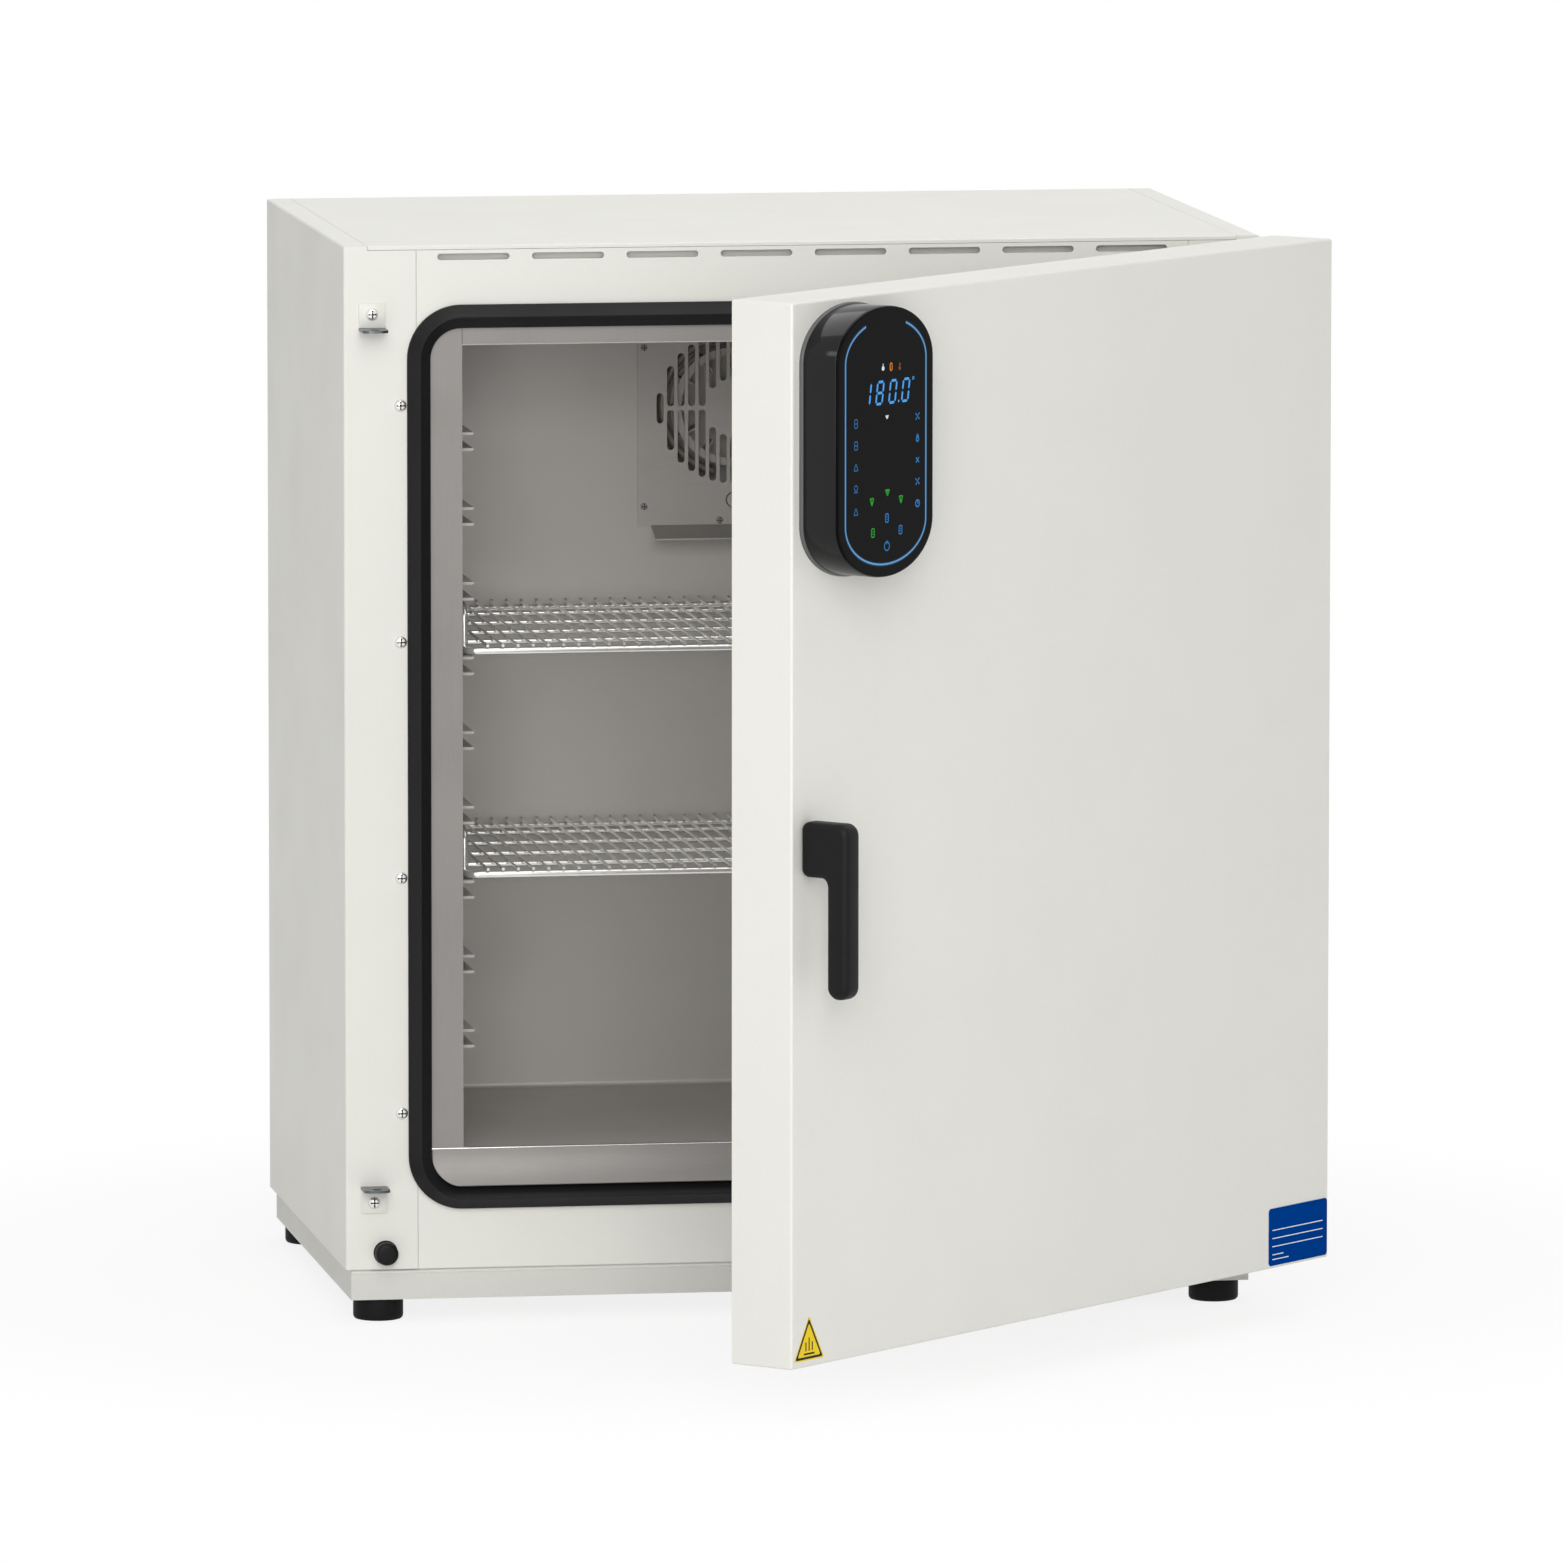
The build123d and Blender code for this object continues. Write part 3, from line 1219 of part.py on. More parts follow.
parts = {
    "left_side_panel": left_panel(),
    "right_side_panel": right_panel(),
    "top_panel": top_panel(),
    "front_frame": front_frame(),
    "rear_panel": rear_panel(),
    "service_plates": service_plates(),
    "rear_panel_screws": [screw(seat, (0, 1, 0)) for seat in
                          rear_screw_seats(-1) + rear_screw_seats(1) + rear_plate_screw_seats()],
    "base_plinth": plinth(),
    "rubber_feet": feet(),
    "chamber_liner": liner(),
    "chamber_sill": sill(),
    "door_gasket": gasket(),
    "insulation_jacket": insulation(),
    "left_shelf_ledges": shelf_ledges(-1),
    "right_shelf_ledges": shelf_ledges(1),
    "fan_cover": fan_cover(),
    "fan_cover_screws": [
        screw((x, wall_front - sheet, z), (0, -1, 0), cover_head_radius, cover_head_height,
              cover_screw_radius) for x, z in cover_screws],
    "fan_housing": fan_housing(),
    "fan_motor": motor(),
    "motor_bracket": motor_bracket(),
    "heater_element": heater(),
    "temperature_probe": probe(),
    "upper_keeper": keeper(keeper_upper_z, keeper_upper_top, keeper_upper_screw),
    "lower_keeper": keeper(keeper_lower_z, keeper_lower_bottom, keeper_lower_screw),
    "front_screws": [screw(seat, (0, -1, 0)) for seat in
                     frame_screw_seats(-1) + frame_screw_seats(1) + keeper_screw_seats()],
    "door_switch_body": switch_body(),
    "door_switch_plunger": switch_plunger(),
    "upper_hinge_bracket": hinge_bracket(hinge_centres[0]),
    "lower_hinge_bracket": hinge_bracket(hinge_centres[1]),
    "hinge_bracket_screws": [screw(seat, (1, 0, 0)) for seat in hinge_screw_seats(bracket_screw_y)],
    "hinge_pins": hinge_pins(),
    "exhaust_pipe": exhaust_pipe(),
    "exhaust_damper": damper(),
    "power_inlet": power_inlet(),
    "power_board": power_board(),
    "fan_wheel": fan_wheel(),
    "fan_shaft": fan_shaft(),
    "upper_shelf_frame": shelf_frame(upper_shelf_pair),
    "upper_shelf_grid": shelf_grid(upper_shelf_pair),
    "lower_shelf_frame": shelf_frame(lower_shelf_pair),
    "lower_shelf_grid": shelf_grid(lower_shelf_pair),
    "door_outer_panel": swing(door_shell()),
    "door_inner_panel": swing(door_inner_panel()),
    "door_plug": swing(door_plug()),
    "door_insulation": swing(door_insulation()),
    "upper_hinge_leaf": swing(hinge_leaf(hinge_centres[0])),
    "lower_hinge_leaf": swing(hinge_leaf(hinge_centres[1])),
    "hinge_leaf_screws": swing([screw(seat, (1, 0, 0)) for seat in hinge_screw_seats(leaf_screw_y)]),
    "lock_case": swing(lock_case()),
    "rod_guides": swing(rod_guides()),
    "pod_base": swing(pod_base_ring()),
    "pod_housing": swing(pod_housing()),
    "pod_glass": swing(pod_glass_plate()),
    "pod_board": swing(pod_board()),
    "info_plate": swing(info_plate()),
    "handle_lever": swing(lever()),
    "handle_spindle": swing(spindle()),
    "lock_pinion": swing(pinion()),
    "upper_lock_rod": swing(lock_rod(1)),
    "lower_lock_rod": swing(lock_rod(-1)),
}

os.makedirs("parts", exist_ok=True)
for name, shape in parts.items():
    pieces = shape if isinstance(shape, list) else [shape]
    export_step(Compound(label=name, children=pieces), f"parts/{name}.step")
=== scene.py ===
"""Looks of a bench-top laboratory oven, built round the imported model.

Sizes are millimetres in the model's frame. A piece is drawn in millimetres and
scaled to metres when it is placed, and a piece of the door is drawn closed and
then swung to the angle at which the door stands.
"""

import logging
import math
from dataclasses import dataclass
from enum import Enum
from functools import partial
from typing import Callable, Iterable, Sequence

import bmesh
import bpy
from bmesh.types import BMEdge, BMesh, BMFace, BMVert
from mathutils import Matrix, Vector


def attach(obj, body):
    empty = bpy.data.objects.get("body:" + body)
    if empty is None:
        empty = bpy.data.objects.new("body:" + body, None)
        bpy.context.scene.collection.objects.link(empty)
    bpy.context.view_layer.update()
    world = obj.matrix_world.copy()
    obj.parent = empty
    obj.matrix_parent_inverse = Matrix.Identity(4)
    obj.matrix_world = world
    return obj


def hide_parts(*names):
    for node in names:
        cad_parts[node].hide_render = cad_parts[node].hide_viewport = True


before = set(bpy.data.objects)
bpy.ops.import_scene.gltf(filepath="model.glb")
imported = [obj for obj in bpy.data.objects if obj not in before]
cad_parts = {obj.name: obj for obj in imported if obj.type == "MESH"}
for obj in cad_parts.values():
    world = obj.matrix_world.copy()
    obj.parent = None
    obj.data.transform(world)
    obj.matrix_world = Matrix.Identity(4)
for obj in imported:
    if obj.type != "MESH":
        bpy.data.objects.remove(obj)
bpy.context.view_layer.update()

logging.basicConfig(level=logging.INFO, format="%(message)s")
log = logging.getLogger("oven")

Tree = bpy.types.NodeTree
Socket = bpy.types.NodeSocket
Inputs = dict[str | int, object]
Colour = tuple[float, float, float, float]
Pair = tuple[float, float]
Triple = tuple[float, float, float]
Steps = tuple[Pair, ...]
Limits = tuple[Pair, Pair, Pair]

MM = 0.001
# Distance within which two points of a drawing are one
WELD = 1e-4
FRONT = -228.0
BACK = 228.0
DOOR_INNER = -240.0
DOOR_OUTER = -293.4
PIVOT = Vector((369.5, DOOR_INNER, 0.0))
DOOR_ANGLE = math.radians(45.3)
FIXED = Matrix.Identity(4)
SWUNG = Matrix.Translation(PIVOT) @ Matrix.Rotation(DOOR_ANGLE, 4, "Z") @ Matrix.Translation(-PIVOT)

# Facets of a turned part, of a rod round its axis, and of a corner of an outline
TURNED = 48
ROD_SIDES = 10
CORNER = 6

# Roughness of a finish's fine noise, and detail and roughness of the broad one
FINE_ROUGHNESS = 0.55
BROAD_NOISE = {"Detail": 3.0, "Roughness": 0.6}
# Levels between which a noise mostly lies, and those of two noises multiplied
NOISE_SPAN = {"From Min": 0.35, "From Max": 0.65}
PRODUCT_SPAN = {"From Min": 0.12, "From Max": 0.42}
# Depths between which the colour of a sheet's outside gives way to that of its inside, a paler colour that is
# painted light for the chamber
INSIDE_SPAN = {"From Min": (FRONT + 4) * MM, "From Max": (FRONT + 8) * MM}
# Levels of a lit sign's noise, and the shares of its full light that they give
GLOW_SPAN = {"From Min": 0.3, "From Max": 0.7, "To Min": 0.82, "To Max": 1.0}
# Numbers of a Mix node's colour inputs and output, whose names its other sockets share
MIX_A, MIX_B, MIX_RESULT = 6, 7, 2


def front_view(y: float, x: float = 0.0, z: float = 0.0) -> Matrix:
    """Placement that stands a drawing in X and Y upright, with its lifts growing to the front."""
    return Matrix.Translation((x, y, z)) @ Matrix.Rotation(math.radians(90), 4, "X")


def seat(point: Sequence[float], outward: Sequence[float]) -> Matrix:
    """Placement that puts a drawing's origin at a point and turns its Z axis along a direction."""
    return Matrix.Translation(point) @ Vector(outward).to_track_quat("Z", "Y").to_matrix().to_4x4()


def linear(code: str) -> Colour:
    """Linear colour from an sRGB hex value.

    Args:
        code: six hex digits after a hash sign.

    Returns:
        Red, green, blue and an alpha of one.
    """
    channels = [int(code[i:i + 2], 16) / 255 for i in (1, 3, 5)]
    red, green, blue = (c / 12.92 if c <= 0.04045 else ((c + 0.055) / 1.055) ** 2.4 for c in channels)
    return red, green, blue, 1.0


def wire(tree: Tree, node: bpy.types.Node, inputs: Inputs) -> None:
    """Fill or link the inputs of a node.

    Args:
        tree: node tree of the node.
        node: the node.
        inputs: input names or numbers with the value or the output socket that each takes.
    """
    for key, value in inputs.items():
        if isinstance(value, Socket):
            tree.links.new(value, node.inputs[key])
        else:
            node.inputs[key].default_value = value


def add_node(tree: Tree, kind: str, inputs: Inputs | None = None, output: str | int = 0,
             **settings: object) -> Socket:
    """Add a node with its settings and inputs.

    Args:
        tree: node tree that gets the node.
        kind: the node's type name.
        inputs: input names or numbers with the value or the output socket that each takes.
        output: name or number of the output that is used.
        settings: the node's own properties.

    Returns:
        That output's socket.
    """
    node = tree.nodes.new(kind)
    for name, value in settings.items():
        setattr(node, name, value)
    wire(tree, node, inputs or {})
    return node.outputs[output]


def seen_rays(tree: Tree) -> Socket:
    """Find out whether a ray comes from the camera, from metal or through glass.

    Args:
        tree: node tree that gets the nodes.

    Returns:
        One for such a ray, and zero for any other.
    """
    seen = add_node(tree, "ShaderNodeLightPath", output="Is Camera Ray")
    for name in ("Is Glossy Ray", "Is Transmission Ray"):
        ray = add_node(tree, "ShaderNodeLightPath", output=name)
        seen = add_node(tree, "ShaderNodeMath", {0: seen, 1: ray}, operation="MAXIMUM")
    return seen


def start_material(name: str) -> tuple[bpy.types.Material, bpy.types.Node, Socket]:
    """Start a material.

    Args:
        name: the material's name.

    Returns:
        The material, its surface node and its Object coordinates.
    """
    made = bpy.data.materials.new(name)
    made.use_nodes = True
    place = add_node(made.node_tree, "ShaderNodeTexCoord", output="Object")
    return made, made.node_tree.nodes["Principled BSDF"], place


class Texture(Enum):
    """Kinds of fine structure that a surface shows, each with the detail of its noise."""

    PEEL = "soft ripple of sprayed paint", 2.0
    BRUSHED = "fine lines in one direction", 5.0
    GRAIN = "fine grain of a moulded skin", 2.0
    WIPED = "faint wipe marks on polish", 2.0
    FIBRE = "felted fibres", 5.0


class Coat:
    """Anything that gives a piece its material."""

    name: str

    def material(self) -> bpy.types.Material:
        """Material of this coat, made once and then shared."""
        return bpy.data.materials.get(self.name) or self.make()

    def make(self) -> bpy.types.Material:
        """Build the material, which each kind of coat does in its own way."""
        raise NotImplementedError


@dataclass(frozen=True)
class Finish(Coat):
    """Surface finish that varies in colour, roughness and height."""

    name: str
    base: str
    shade: str
    texture: Texture
    size: float
    rough: Pair
    depth: float = 0.0
    metallic: float = 0.0
    stretch: Triple = (1.0, 1.0, 1.0)
    coat: float = 0.0
    specular: float = 0.5
    cloud: float = 90.0
    mottle: float = 0.5
    inside: str = ""

    def make(self) -> bpy.types.Material:
        """Build the node tree of the finish.

        Returns:
            The new material.
        """
        made, surface, place = start_material(self.name)
        tree = made.node_tree
        scale = [part / (self.size * MM) for part in self.stretch]
        fine_place = add_node(tree, "ShaderNodeMapping", {"Vector": place, "Scale": scale})
        fine = add_node(tree, "ShaderNodeTexNoise", {"Vector": fine_place, "Scale": 1.0,
                                                    "Detail": self.texture.value[1],
                                                    "Roughness": FINE_ROUGHNESS})
        broad = add_node(tree, "ShaderNodeTexNoise", {"Vector": place, "Scale": 1 / (self.cloud * MM),
                                                     **BROAD_NOISE})
        product = add_node(tree, "ShaderNodeMath", {0: fine, 1: broad}, operation="MULTIPLY")
        amount = add_node(tree, "ShaderNodeMapRange", {"Value": product, **PRODUCT_SPAN,
                                                      "To Max": self.mottle})
        colour = add_node(tree, "ShaderNodeMix", {0: amount, MIX_A: linear(self.base),
                                                 MIX_B: linear(self.shade)}, MIX_RESULT, data_type="RGBA")
        # Painted light: behind the mouth the sheet turns to the paler inside colour
        if self.inside:
            depth = add_node(tree, "ShaderNodeSeparateXYZ", {0: place}, "Y")
            behind = add_node(tree, "ShaderNodeMapRange", {"Value": depth, **INSIDE_SPAN})
            colour = add_node(tree, "ShaderNodeMix", {0: behind, MIX_A: colour,
                                                     MIX_B: linear(self.inside)}, MIX_RESULT,
                              data_type="RGBA")
        rough = add_node(tree, "ShaderNodeMapRange", {"Value": broad, **NOISE_SPAN,
                                                     "To Min": self.rough[0], "To Max": self.rough[1]})
        inputs = {"Base Color": colour, "Roughness": rough, "Metallic": self.metallic,
                  "Specular IOR Level": self.specular, "Coat Weight": self.coat}
        if self.depth:
            inputs["Normal"] = add_node(tree, "ShaderNodeBump", {"Height": fine, "Strength": 1.0,
                                                                "Distance": self.depth * MM})
        wire(tree, surface, inputs)
        return made


@dataclass(frozen=True)
class Lit(Coat):
    """Sign that shines through the control glass."""

    name: str
    colour: str
    strength: float = 1.0
    unlit: Colour = (0.004, 0.004, 0.005, 1.0)
    rough: float = 0.3
    specular: float = 0.06
    dimmest: float = 0.7
    spread: float = 260.0

    def make(self) -> bpy.types.Material:
        """Build the node tree of a lit sign, slightly uneven as over a diffuser.

        Returns:
            The new material.
        """
        made, surface, place = start_material(self.name)
        tree = made.node_tree
        spread = add_node(tree, "ShaderNodeTexNoise", {"Vector": place, "Scale": self.spread, "Detail": 1.0})
        full = linear(self.colour)
        dim = (*(part * self.dimmest for part in full[:3]), 1.0)
        level = add_node(tree, "ShaderNodeMapRange", {"Value": spread, **GLOW_SPAN})
        glow = add_node(tree, "ShaderNodeMix", {0: level, MIX_A: dim, MIX_B: full}, MIX_RESULT,
                        data_type="RGBA")
        wire(tree, surface, {"Emission Color": glow, "Emission Strength": self.strength,
                             "Base Color": self.unlit, "Roughness": self.rough,
                             "Specular IOR Level": self.specular})
        return made


# Polyester powder coat, sprayed and baked: an even warm white with a satin ripple
CASING_PAINT = Finish("powder_coat_casing", "#ebeae3", "#e6e5dd", Texture.PEEL, 2.4, (0.42, 0.5), 0.012)
# The plinth's coat: the same powder a shade greyer, painted shade for the plinth under the casing's overhang
PLINTH_PAINT = Finish("powder_coat_plinth", "#dad9d3", "#d3d2cb", Texture.PEEL, 2.4, (0.44, 0.52), 0.012)
# The door's coat is the same powder from another batch, a touch greyer
DOOR_PAINT = Finish("powder_coat_door", "#e9e8e2", "#e4e3dc", Texture.PEEL, 2.4, (0.4, 0.48), 0.012)
# Stainless steel sheet with a fine rolled grain: warm grey at the mouth, and painted paler inside the chamber,
# painted light for the light that reaches in
STAINLESS = Finish("stainless_sheet", "#918e8b", "#8a8784", Texture.BRUSHED, 1.6, (0.46, 0.54), 0.004, 0.35,
                   (1.0, 1.0, 0.06), inside="#bab7b3")
# The chamber's ledges, fan cover and probe: the same steel, dull and paler than the sheet at the mouth; on the
# roof bead this pale steel is a painted highlight
STAINLESS_DULL = Finish("stainless_dull", "#b3b0ac", "#aaa7a3", Texture.BRUSHED, 1.4, (0.46, 0.54), 0.003,
                        0.35, (0.08, 1.0, 1.0))
# The same steel in the sill and the door's inner plate, smoothed by the press
STAINLESS_PRESSED = Finish("stainless_pressed", "#93908d", "#8b8885", Texture.BRUSHED, 1.4, (0.4, 0.48),
                           0.003, 0.4, (0.08, 1.0, 1.0))
# Rolled bead at the sill's top edge, painted near white: a painted highlight along the edge
BRIGHT_EDGE = Finish("sill_edge_painted_highlight", "#f2f1ee", "#dddbd7", Texture.WIPED, 8.0, (0.12, 0.2), metallic=1.0)
# The fan's wheel is plain steel, dulled brown-grey by the heat and painted paler as painted light behind the
# cover's slots
WHEEL_STEEL = Finish("heated_steel_and_painted_light", "#b4afab", "#a39e9a", Texture.WIPED, 5.0, (0.5, 0.62), 0.003, 0.3)
# Aluminised sheet round the fan, matt and pale grey, painted paler as painted light behind the cover's slots
ALUMINISED = Finish("aluminised_sheet", "#c8c4bf", "#b9b5b0", Texture.WIPED, 6.0, (0.52, 0.64), 0.003, 0.3)
# Striker tongues: polished steel painted a cool dark grey, a painted reflection of the dark under the lock
STRIKER_STEEL = Finish("striker_steel", "#62676b", "#4d5155", Texture.WIPED, 5.0, (0.25, 0.36), 0.0, 0.9)
# Electropolished wire and screws: bright, with small dull spots at the welds
CHROME_WIRE = Finish("polished_wire", "#efeeeb", "#d3d1cd", Texture.WIPED, 9.0, (0.14, 0.24), 0.0, 0.75)
# Hot-dip galvanised sheet: a cool grey whose spangle is drawn at a few millimetres
GALVANISED = Finish("galvanised_sheet", "#b2b6b8", "#a0a5a8", Texture.WIPED, 6.0, (0.4, 0.52), 0.004, 0.9,
                    cloud=28.0)
# Zinc-plated screws and hinges: pale metal with a slight yellow cast
ZINC_PLATE = Finish("zinc_plated_steel", "#c9c6bf", "#aca79d", Texture.WIPED, 3.0, (0.24, 0.38), 0.003, 1.0)
# Recess of a screw head, dark with painted shade
RECESS_SHADE = Finish("recess_painted_shade", "#2c2b2a", "#222120", Texture.WIPED, 4.0, (0.6, 0.7), specular=0.2)
# Joint between two sheets: a thin line of shade
JOINT_SHADE = Finish("joint_shade", "#6f6b68", "#65615e", Texture.WIPED, 6.0, (0.5, 0.6), specular=0.2)
# Silicone rubber, extruded and welded at the corners: deep grey with a dull sheen
RUBBER = Finish("silicone_rubber", "#181819", "#131314", Texture.GRAIN, 1.5, (0.42, 0.55), 0.02, specular=0.2)
# Rubber of the feet, moulded with a coarser skin and dulled by dust
FOOT_RUBBER = Finish("moulded_rubber", "#0f0f10", "#161616", Texture.GRAIN, 1.8, (0.55, 0.7), 0.04,
                     specular=0.15)
# High-gloss ABS of the pod: near black with sharp reflections
GLOSS_ABS = Finish("gloss_abs", "#040405", "#060607", Texture.WIPED, 30.0, (0.1, 0.16), specular=0.33)
# Printed glass over the display: black ink behind a polished face
PRINTED_GLASS = Finish("printed_glass", "#030304", "#050506", Texture.WIPED, 40.0, (0.08, 0.13),
                       specular=0.06)
# Glass-filled nylon of the handle: satin black with a spark-eroded skin
NYLON = Finish("filled_nylon", "#101011", "#141414", Texture.GRAIN, 1.2, (0.42, 0.52), 0.02, specular=0.17)
# Grey ABS trim between the pod and the door
GREY_ABS = Finish("grey_abs", "#5a5a5a", "#535354", Texture.GRAIN, 1.4, (0.4, 0.5), 0.01)
# Screen-printed aluminium plate: a flat saturated blue ink without gloss
PLATE_BLUE = Finish("printed_plate", "#003f92", "#003a8a", Texture.WIPED, 12.0, (0.5, 0.6), specular=0.0)
# White ink of the plate's plain rules
PRINT_WHITE = Finish("print_white", "#eef0f2", "#e2e5e8", Texture.WIPED, 6.0, (0.4, 0.5), specular=0.2)
# Yellow ink of the hot-surface sign
SIGN_YELLOW = Finish("sign_yellow", "#f3d41c", "#e9c918", Texture.WIPED, 6.0, (0.4, 0.5), specular=0.2)
# Black ink of the hot-surface sign
SIGN_BLACK = Finish("sign_black", "#141414", "#1b1b1b", Texture.WIPED, 6.0, (0.4, 0.5), specular=0.2)
# Mineral wool board: matted straw-coloured fibres
WOOL = Finish("mineral_wool", "#c3ad74", "#9c8650", Texture.FIBRE, 3.0, (0.9, 1.0), 1.2, mottle=1.0)
# Epoxy-glass circuit board under a green solder mask
BOARD = Finish("solder_mask", "#17552f", "#0f4124", Texture.WIPED, 4.0, (0.3, 0.42), 0.005, coat=0.2)
# Stove-enamelled motor shell: dark grey with a light ripple
MOTOR_PAINT = Finish("motor_enamel", "#3c3d40", "#323336", Texture.PEEL, 2.0, (0.38, 0.5), 0.02)
# Mill-finish aluminium: pale, softly brushed
ALUMINIUM = Finish("mill_aluminium", "#c6c7c9", "#b3b4b7", Texture.BRUSHED, 1.2, (0.3, 0.42), 0.003, 1.0,
                   (0.08, 1.0, 1.0))
# Sheathed heating tube after service: brown and grey temper colours, painted paler as painted light behind the
# fan cover's slots
HEATER_TUBE = Finish("tempered_tube_and_painted_light", "#a89d94", "#8a8179", Texture.WIPED, 14.0, (0.45, 0.6), 0.004, 0.3,
                     cloud=24.0, mottle=1.0)
# Nickel-plated brass contacts: warm and bright
CONTACT = Finish("nickel_contact", "#d4cdbb", "#bdb49f", Texture.WIPED, 3.0, (0.2, 0.3), 0.0, 1.0)

# Light-emitting diodes behind the printed glass, each in its own colour and level
DISPLAY_BLUE = Lit("display_blue", "#4aa3ef", 1.0)
SIGN_BLUE = Lit("sign_blue", "#2f7cc0", 0.9)
SIGN_DIM_BLUE = Lit("sign_dim_blue", "#2f6ca3", 0.8)
RING_BLUE = Lit("ring_blue", "#6ca6d6", 1.0)
RING_HALO = Lit("ring_halo", "#1c4468", 1.0)
SIGN_GREEN = Lit("sign_green", "#21a62a", 0.9)
SIGN_WHITE = Lit("sign_white", "#e6ecf0", 0.9)
SIGN_ORANGE = Lit("sign_orange", "#d9822b", 0.95)
SIGN_DIM_ORANGE = Lit("sign_dim_orange", "#9a4e1c", 0.7)


def dress(finish: Finish, *nodes: str) -> None:
    """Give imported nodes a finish.

    Args:
        finish: finish that they get.
        nodes: names of the nodes.
    """
    for node in nodes:
        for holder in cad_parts[node].material_slots:
            holder.material = finish.material()


def soften(bm: BMesh, limit: float) -> None:
    """Shade faces smooth except across edges that turn more than a limit.

    Args:
        bm: mesh to shade.
        limit: greatest smooth turn, in degrees.
    """
    for face in bm.faces:
        face.smooth = True
    for edge in bm.edges:
        edge.smooth = len(edge.link_faces) == 2 and edge.calc_face_angle(0.0) < math.radians(limit)


def place_piece(name: str, bm: BMesh, coats: Coat | Sequence[Coat], body: str, at: Matrix = FIXED,
                stands_for: str = "", limit: float = 40.0) -> None:
    """Turn a drawn mesh into a finished piece in its place.

    Args:
        name: name of the piece.
        bm: the drawing in millimetres, which is used up.
        coats: finish, or one for each material number of the faces.
        body: body that the piece rides on.
        at: placement in millimetres.
        stands_for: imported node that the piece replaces, where it does.
        limit: greatest turn in degrees that is shaded smooth.
    """
    bmesh.ops.remove_doubles(bm, verts=bm.verts, dist=WELD)
    bmesh.ops.recalc_face_normals(bm, faces=bm.faces)
    soften(bm, limit)
    bm.transform(Matrix.Scale(MM, 4) @ at)
    mesh = bpy.data.meshes.new(name)
    bm.to_mesh(mesh)
    bm.free()
    for coat in [coats] if isinstance(coats, Coat) else coats:
        mesh.materials.append(coat.material())
    piece = bpy.data.objects.new(name, mesh)
    bpy.context.scene.collection.objects.link(piece)
    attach(piece, body)
    if stands_for:
        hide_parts(stands_for)
    log.info("%s: %d faces on %s", name, len(mesh.polygons), body)


def repeat(bm: BMesh, draw: Callable[[BMesh], object], placements: Iterable[Matrix]) -> None:
    """Draw a shape once for each placement.

    Args:
        bm: mesh that gets the shapes.
        draw: function that adds one shape to a mesh.
        placements: where the copies go.
    """
    single = bmesh.new()
    draw(single)
    mesh = bpy.data.meshes.new("single")
    single.to_mesh(mesh)
    single.free()
    for placement in placements:
        before = len(bm.verts)
        bm.from_mesh(mesh)
        bm.verts.ensure_lookup_table()
        bmesh.ops.transform(bm, matrix=placement, verts=bm.verts[before:])
    bpy.data.meshes.remove(mesh)


def pick(parts: Iterable[object], kind: type) -> list:
    """Elements of one kind among what an operator made."""
    return [part for part in parts if isinstance(part, kind)]


class Rounded(Enum):
    """What of a shape is rounded."""

    CORNERS = "VERTICES"
    EDGES = "EDGES"


def bevel(bm: BMesh, parts: Sequence[BMVert] | Sequence[BMEdge], radius: float, segments: int,
          kind: Rounded = Rounded.CORNERS) -> list[BMVert]:
    """Round corners of a flat outline or edges of a solid.

    Args:
        bm: mesh of the shape.
        parts: the corners or the edges.
        radius: how far the rounding reaches.
        segments: facets across it.
        kind: which of the two is rounded.

    Returns:
        The points of the rounding.
    """
    return bmesh.ops.bevel(bm, geom=parts, offset=radius, offset_type="OFFSET", segments=segments,
                           profile=0.5, affect=kind.value, material=-1,
                           clamp_overlap=kind is Rounded.EDGES)["verts"]


def bar(bm: BMesh, middle: Sequence[float], size: Pair, number: int = 0) -> list[BMVert]:
    """Flat rectangle parallel to the drawing's plane.

    Args:
        bm: mesh that gets the rectangle.
        middle: its middle.
        size: size in X and Y.
        number: material number of its face.

    Returns:
        Its corners.
    """
    verts = bmesh.ops.create_grid(bm, x_segments=1, y_segments=1, size=0.5)["verts"]
    bmesh.ops.scale(bm, vec=(*size, 1), verts=verts)
    bmesh.ops.translate(bm, vec=middle, verts=verts)
    verts[0].link_faces[0].material_index = number
    return verts


def plate(bm: BMesh, width: float, height: float, radius: float, segments: int = 8) -> BMFace:
    """Flat rectangle round the origin, with each corner rounded in so many segments."""
    rounding = bevel(bm, bar(bm, (0, 0, 0), (width, height)), radius, segments)
    return max((face for vert in rounding for face in vert.link_faces), key=lambda face: face.calc_area())


def pill(bm: BMesh, width: float, height: float, end: float, segments: int) -> BMFace:
    """Flat outline with straight sides and half-elliptical ends.

    Args:
        bm: mesh that gets the face.
        width: size in X.
        height: size in Y.
        end: height of each rounded end.
        segments: facets round the outline, an even number.

    Returns:
        The face.
    """
    turned = Matrix.Rotation(math.pi / segments, 4, "Z")
    ring = bmesh.ops.create_circle(bm, cap_ends=True, radius=1.0, segments=segments, matrix=turned)["verts"]
    side = math.cos(math.pi / segments)
    bmesh.ops.scale(bm, vec=(width / 2 / side, end, 1), verts=ring)
    for sign in (-1, 1):
        half = [vert for vert in ring if vert.co.y * sign > 0]
        bmesh.ops.translate(bm, vec=(0, sign * (height / 2 - end), 0), verts=half)
    return ring[0].link_faces[0]


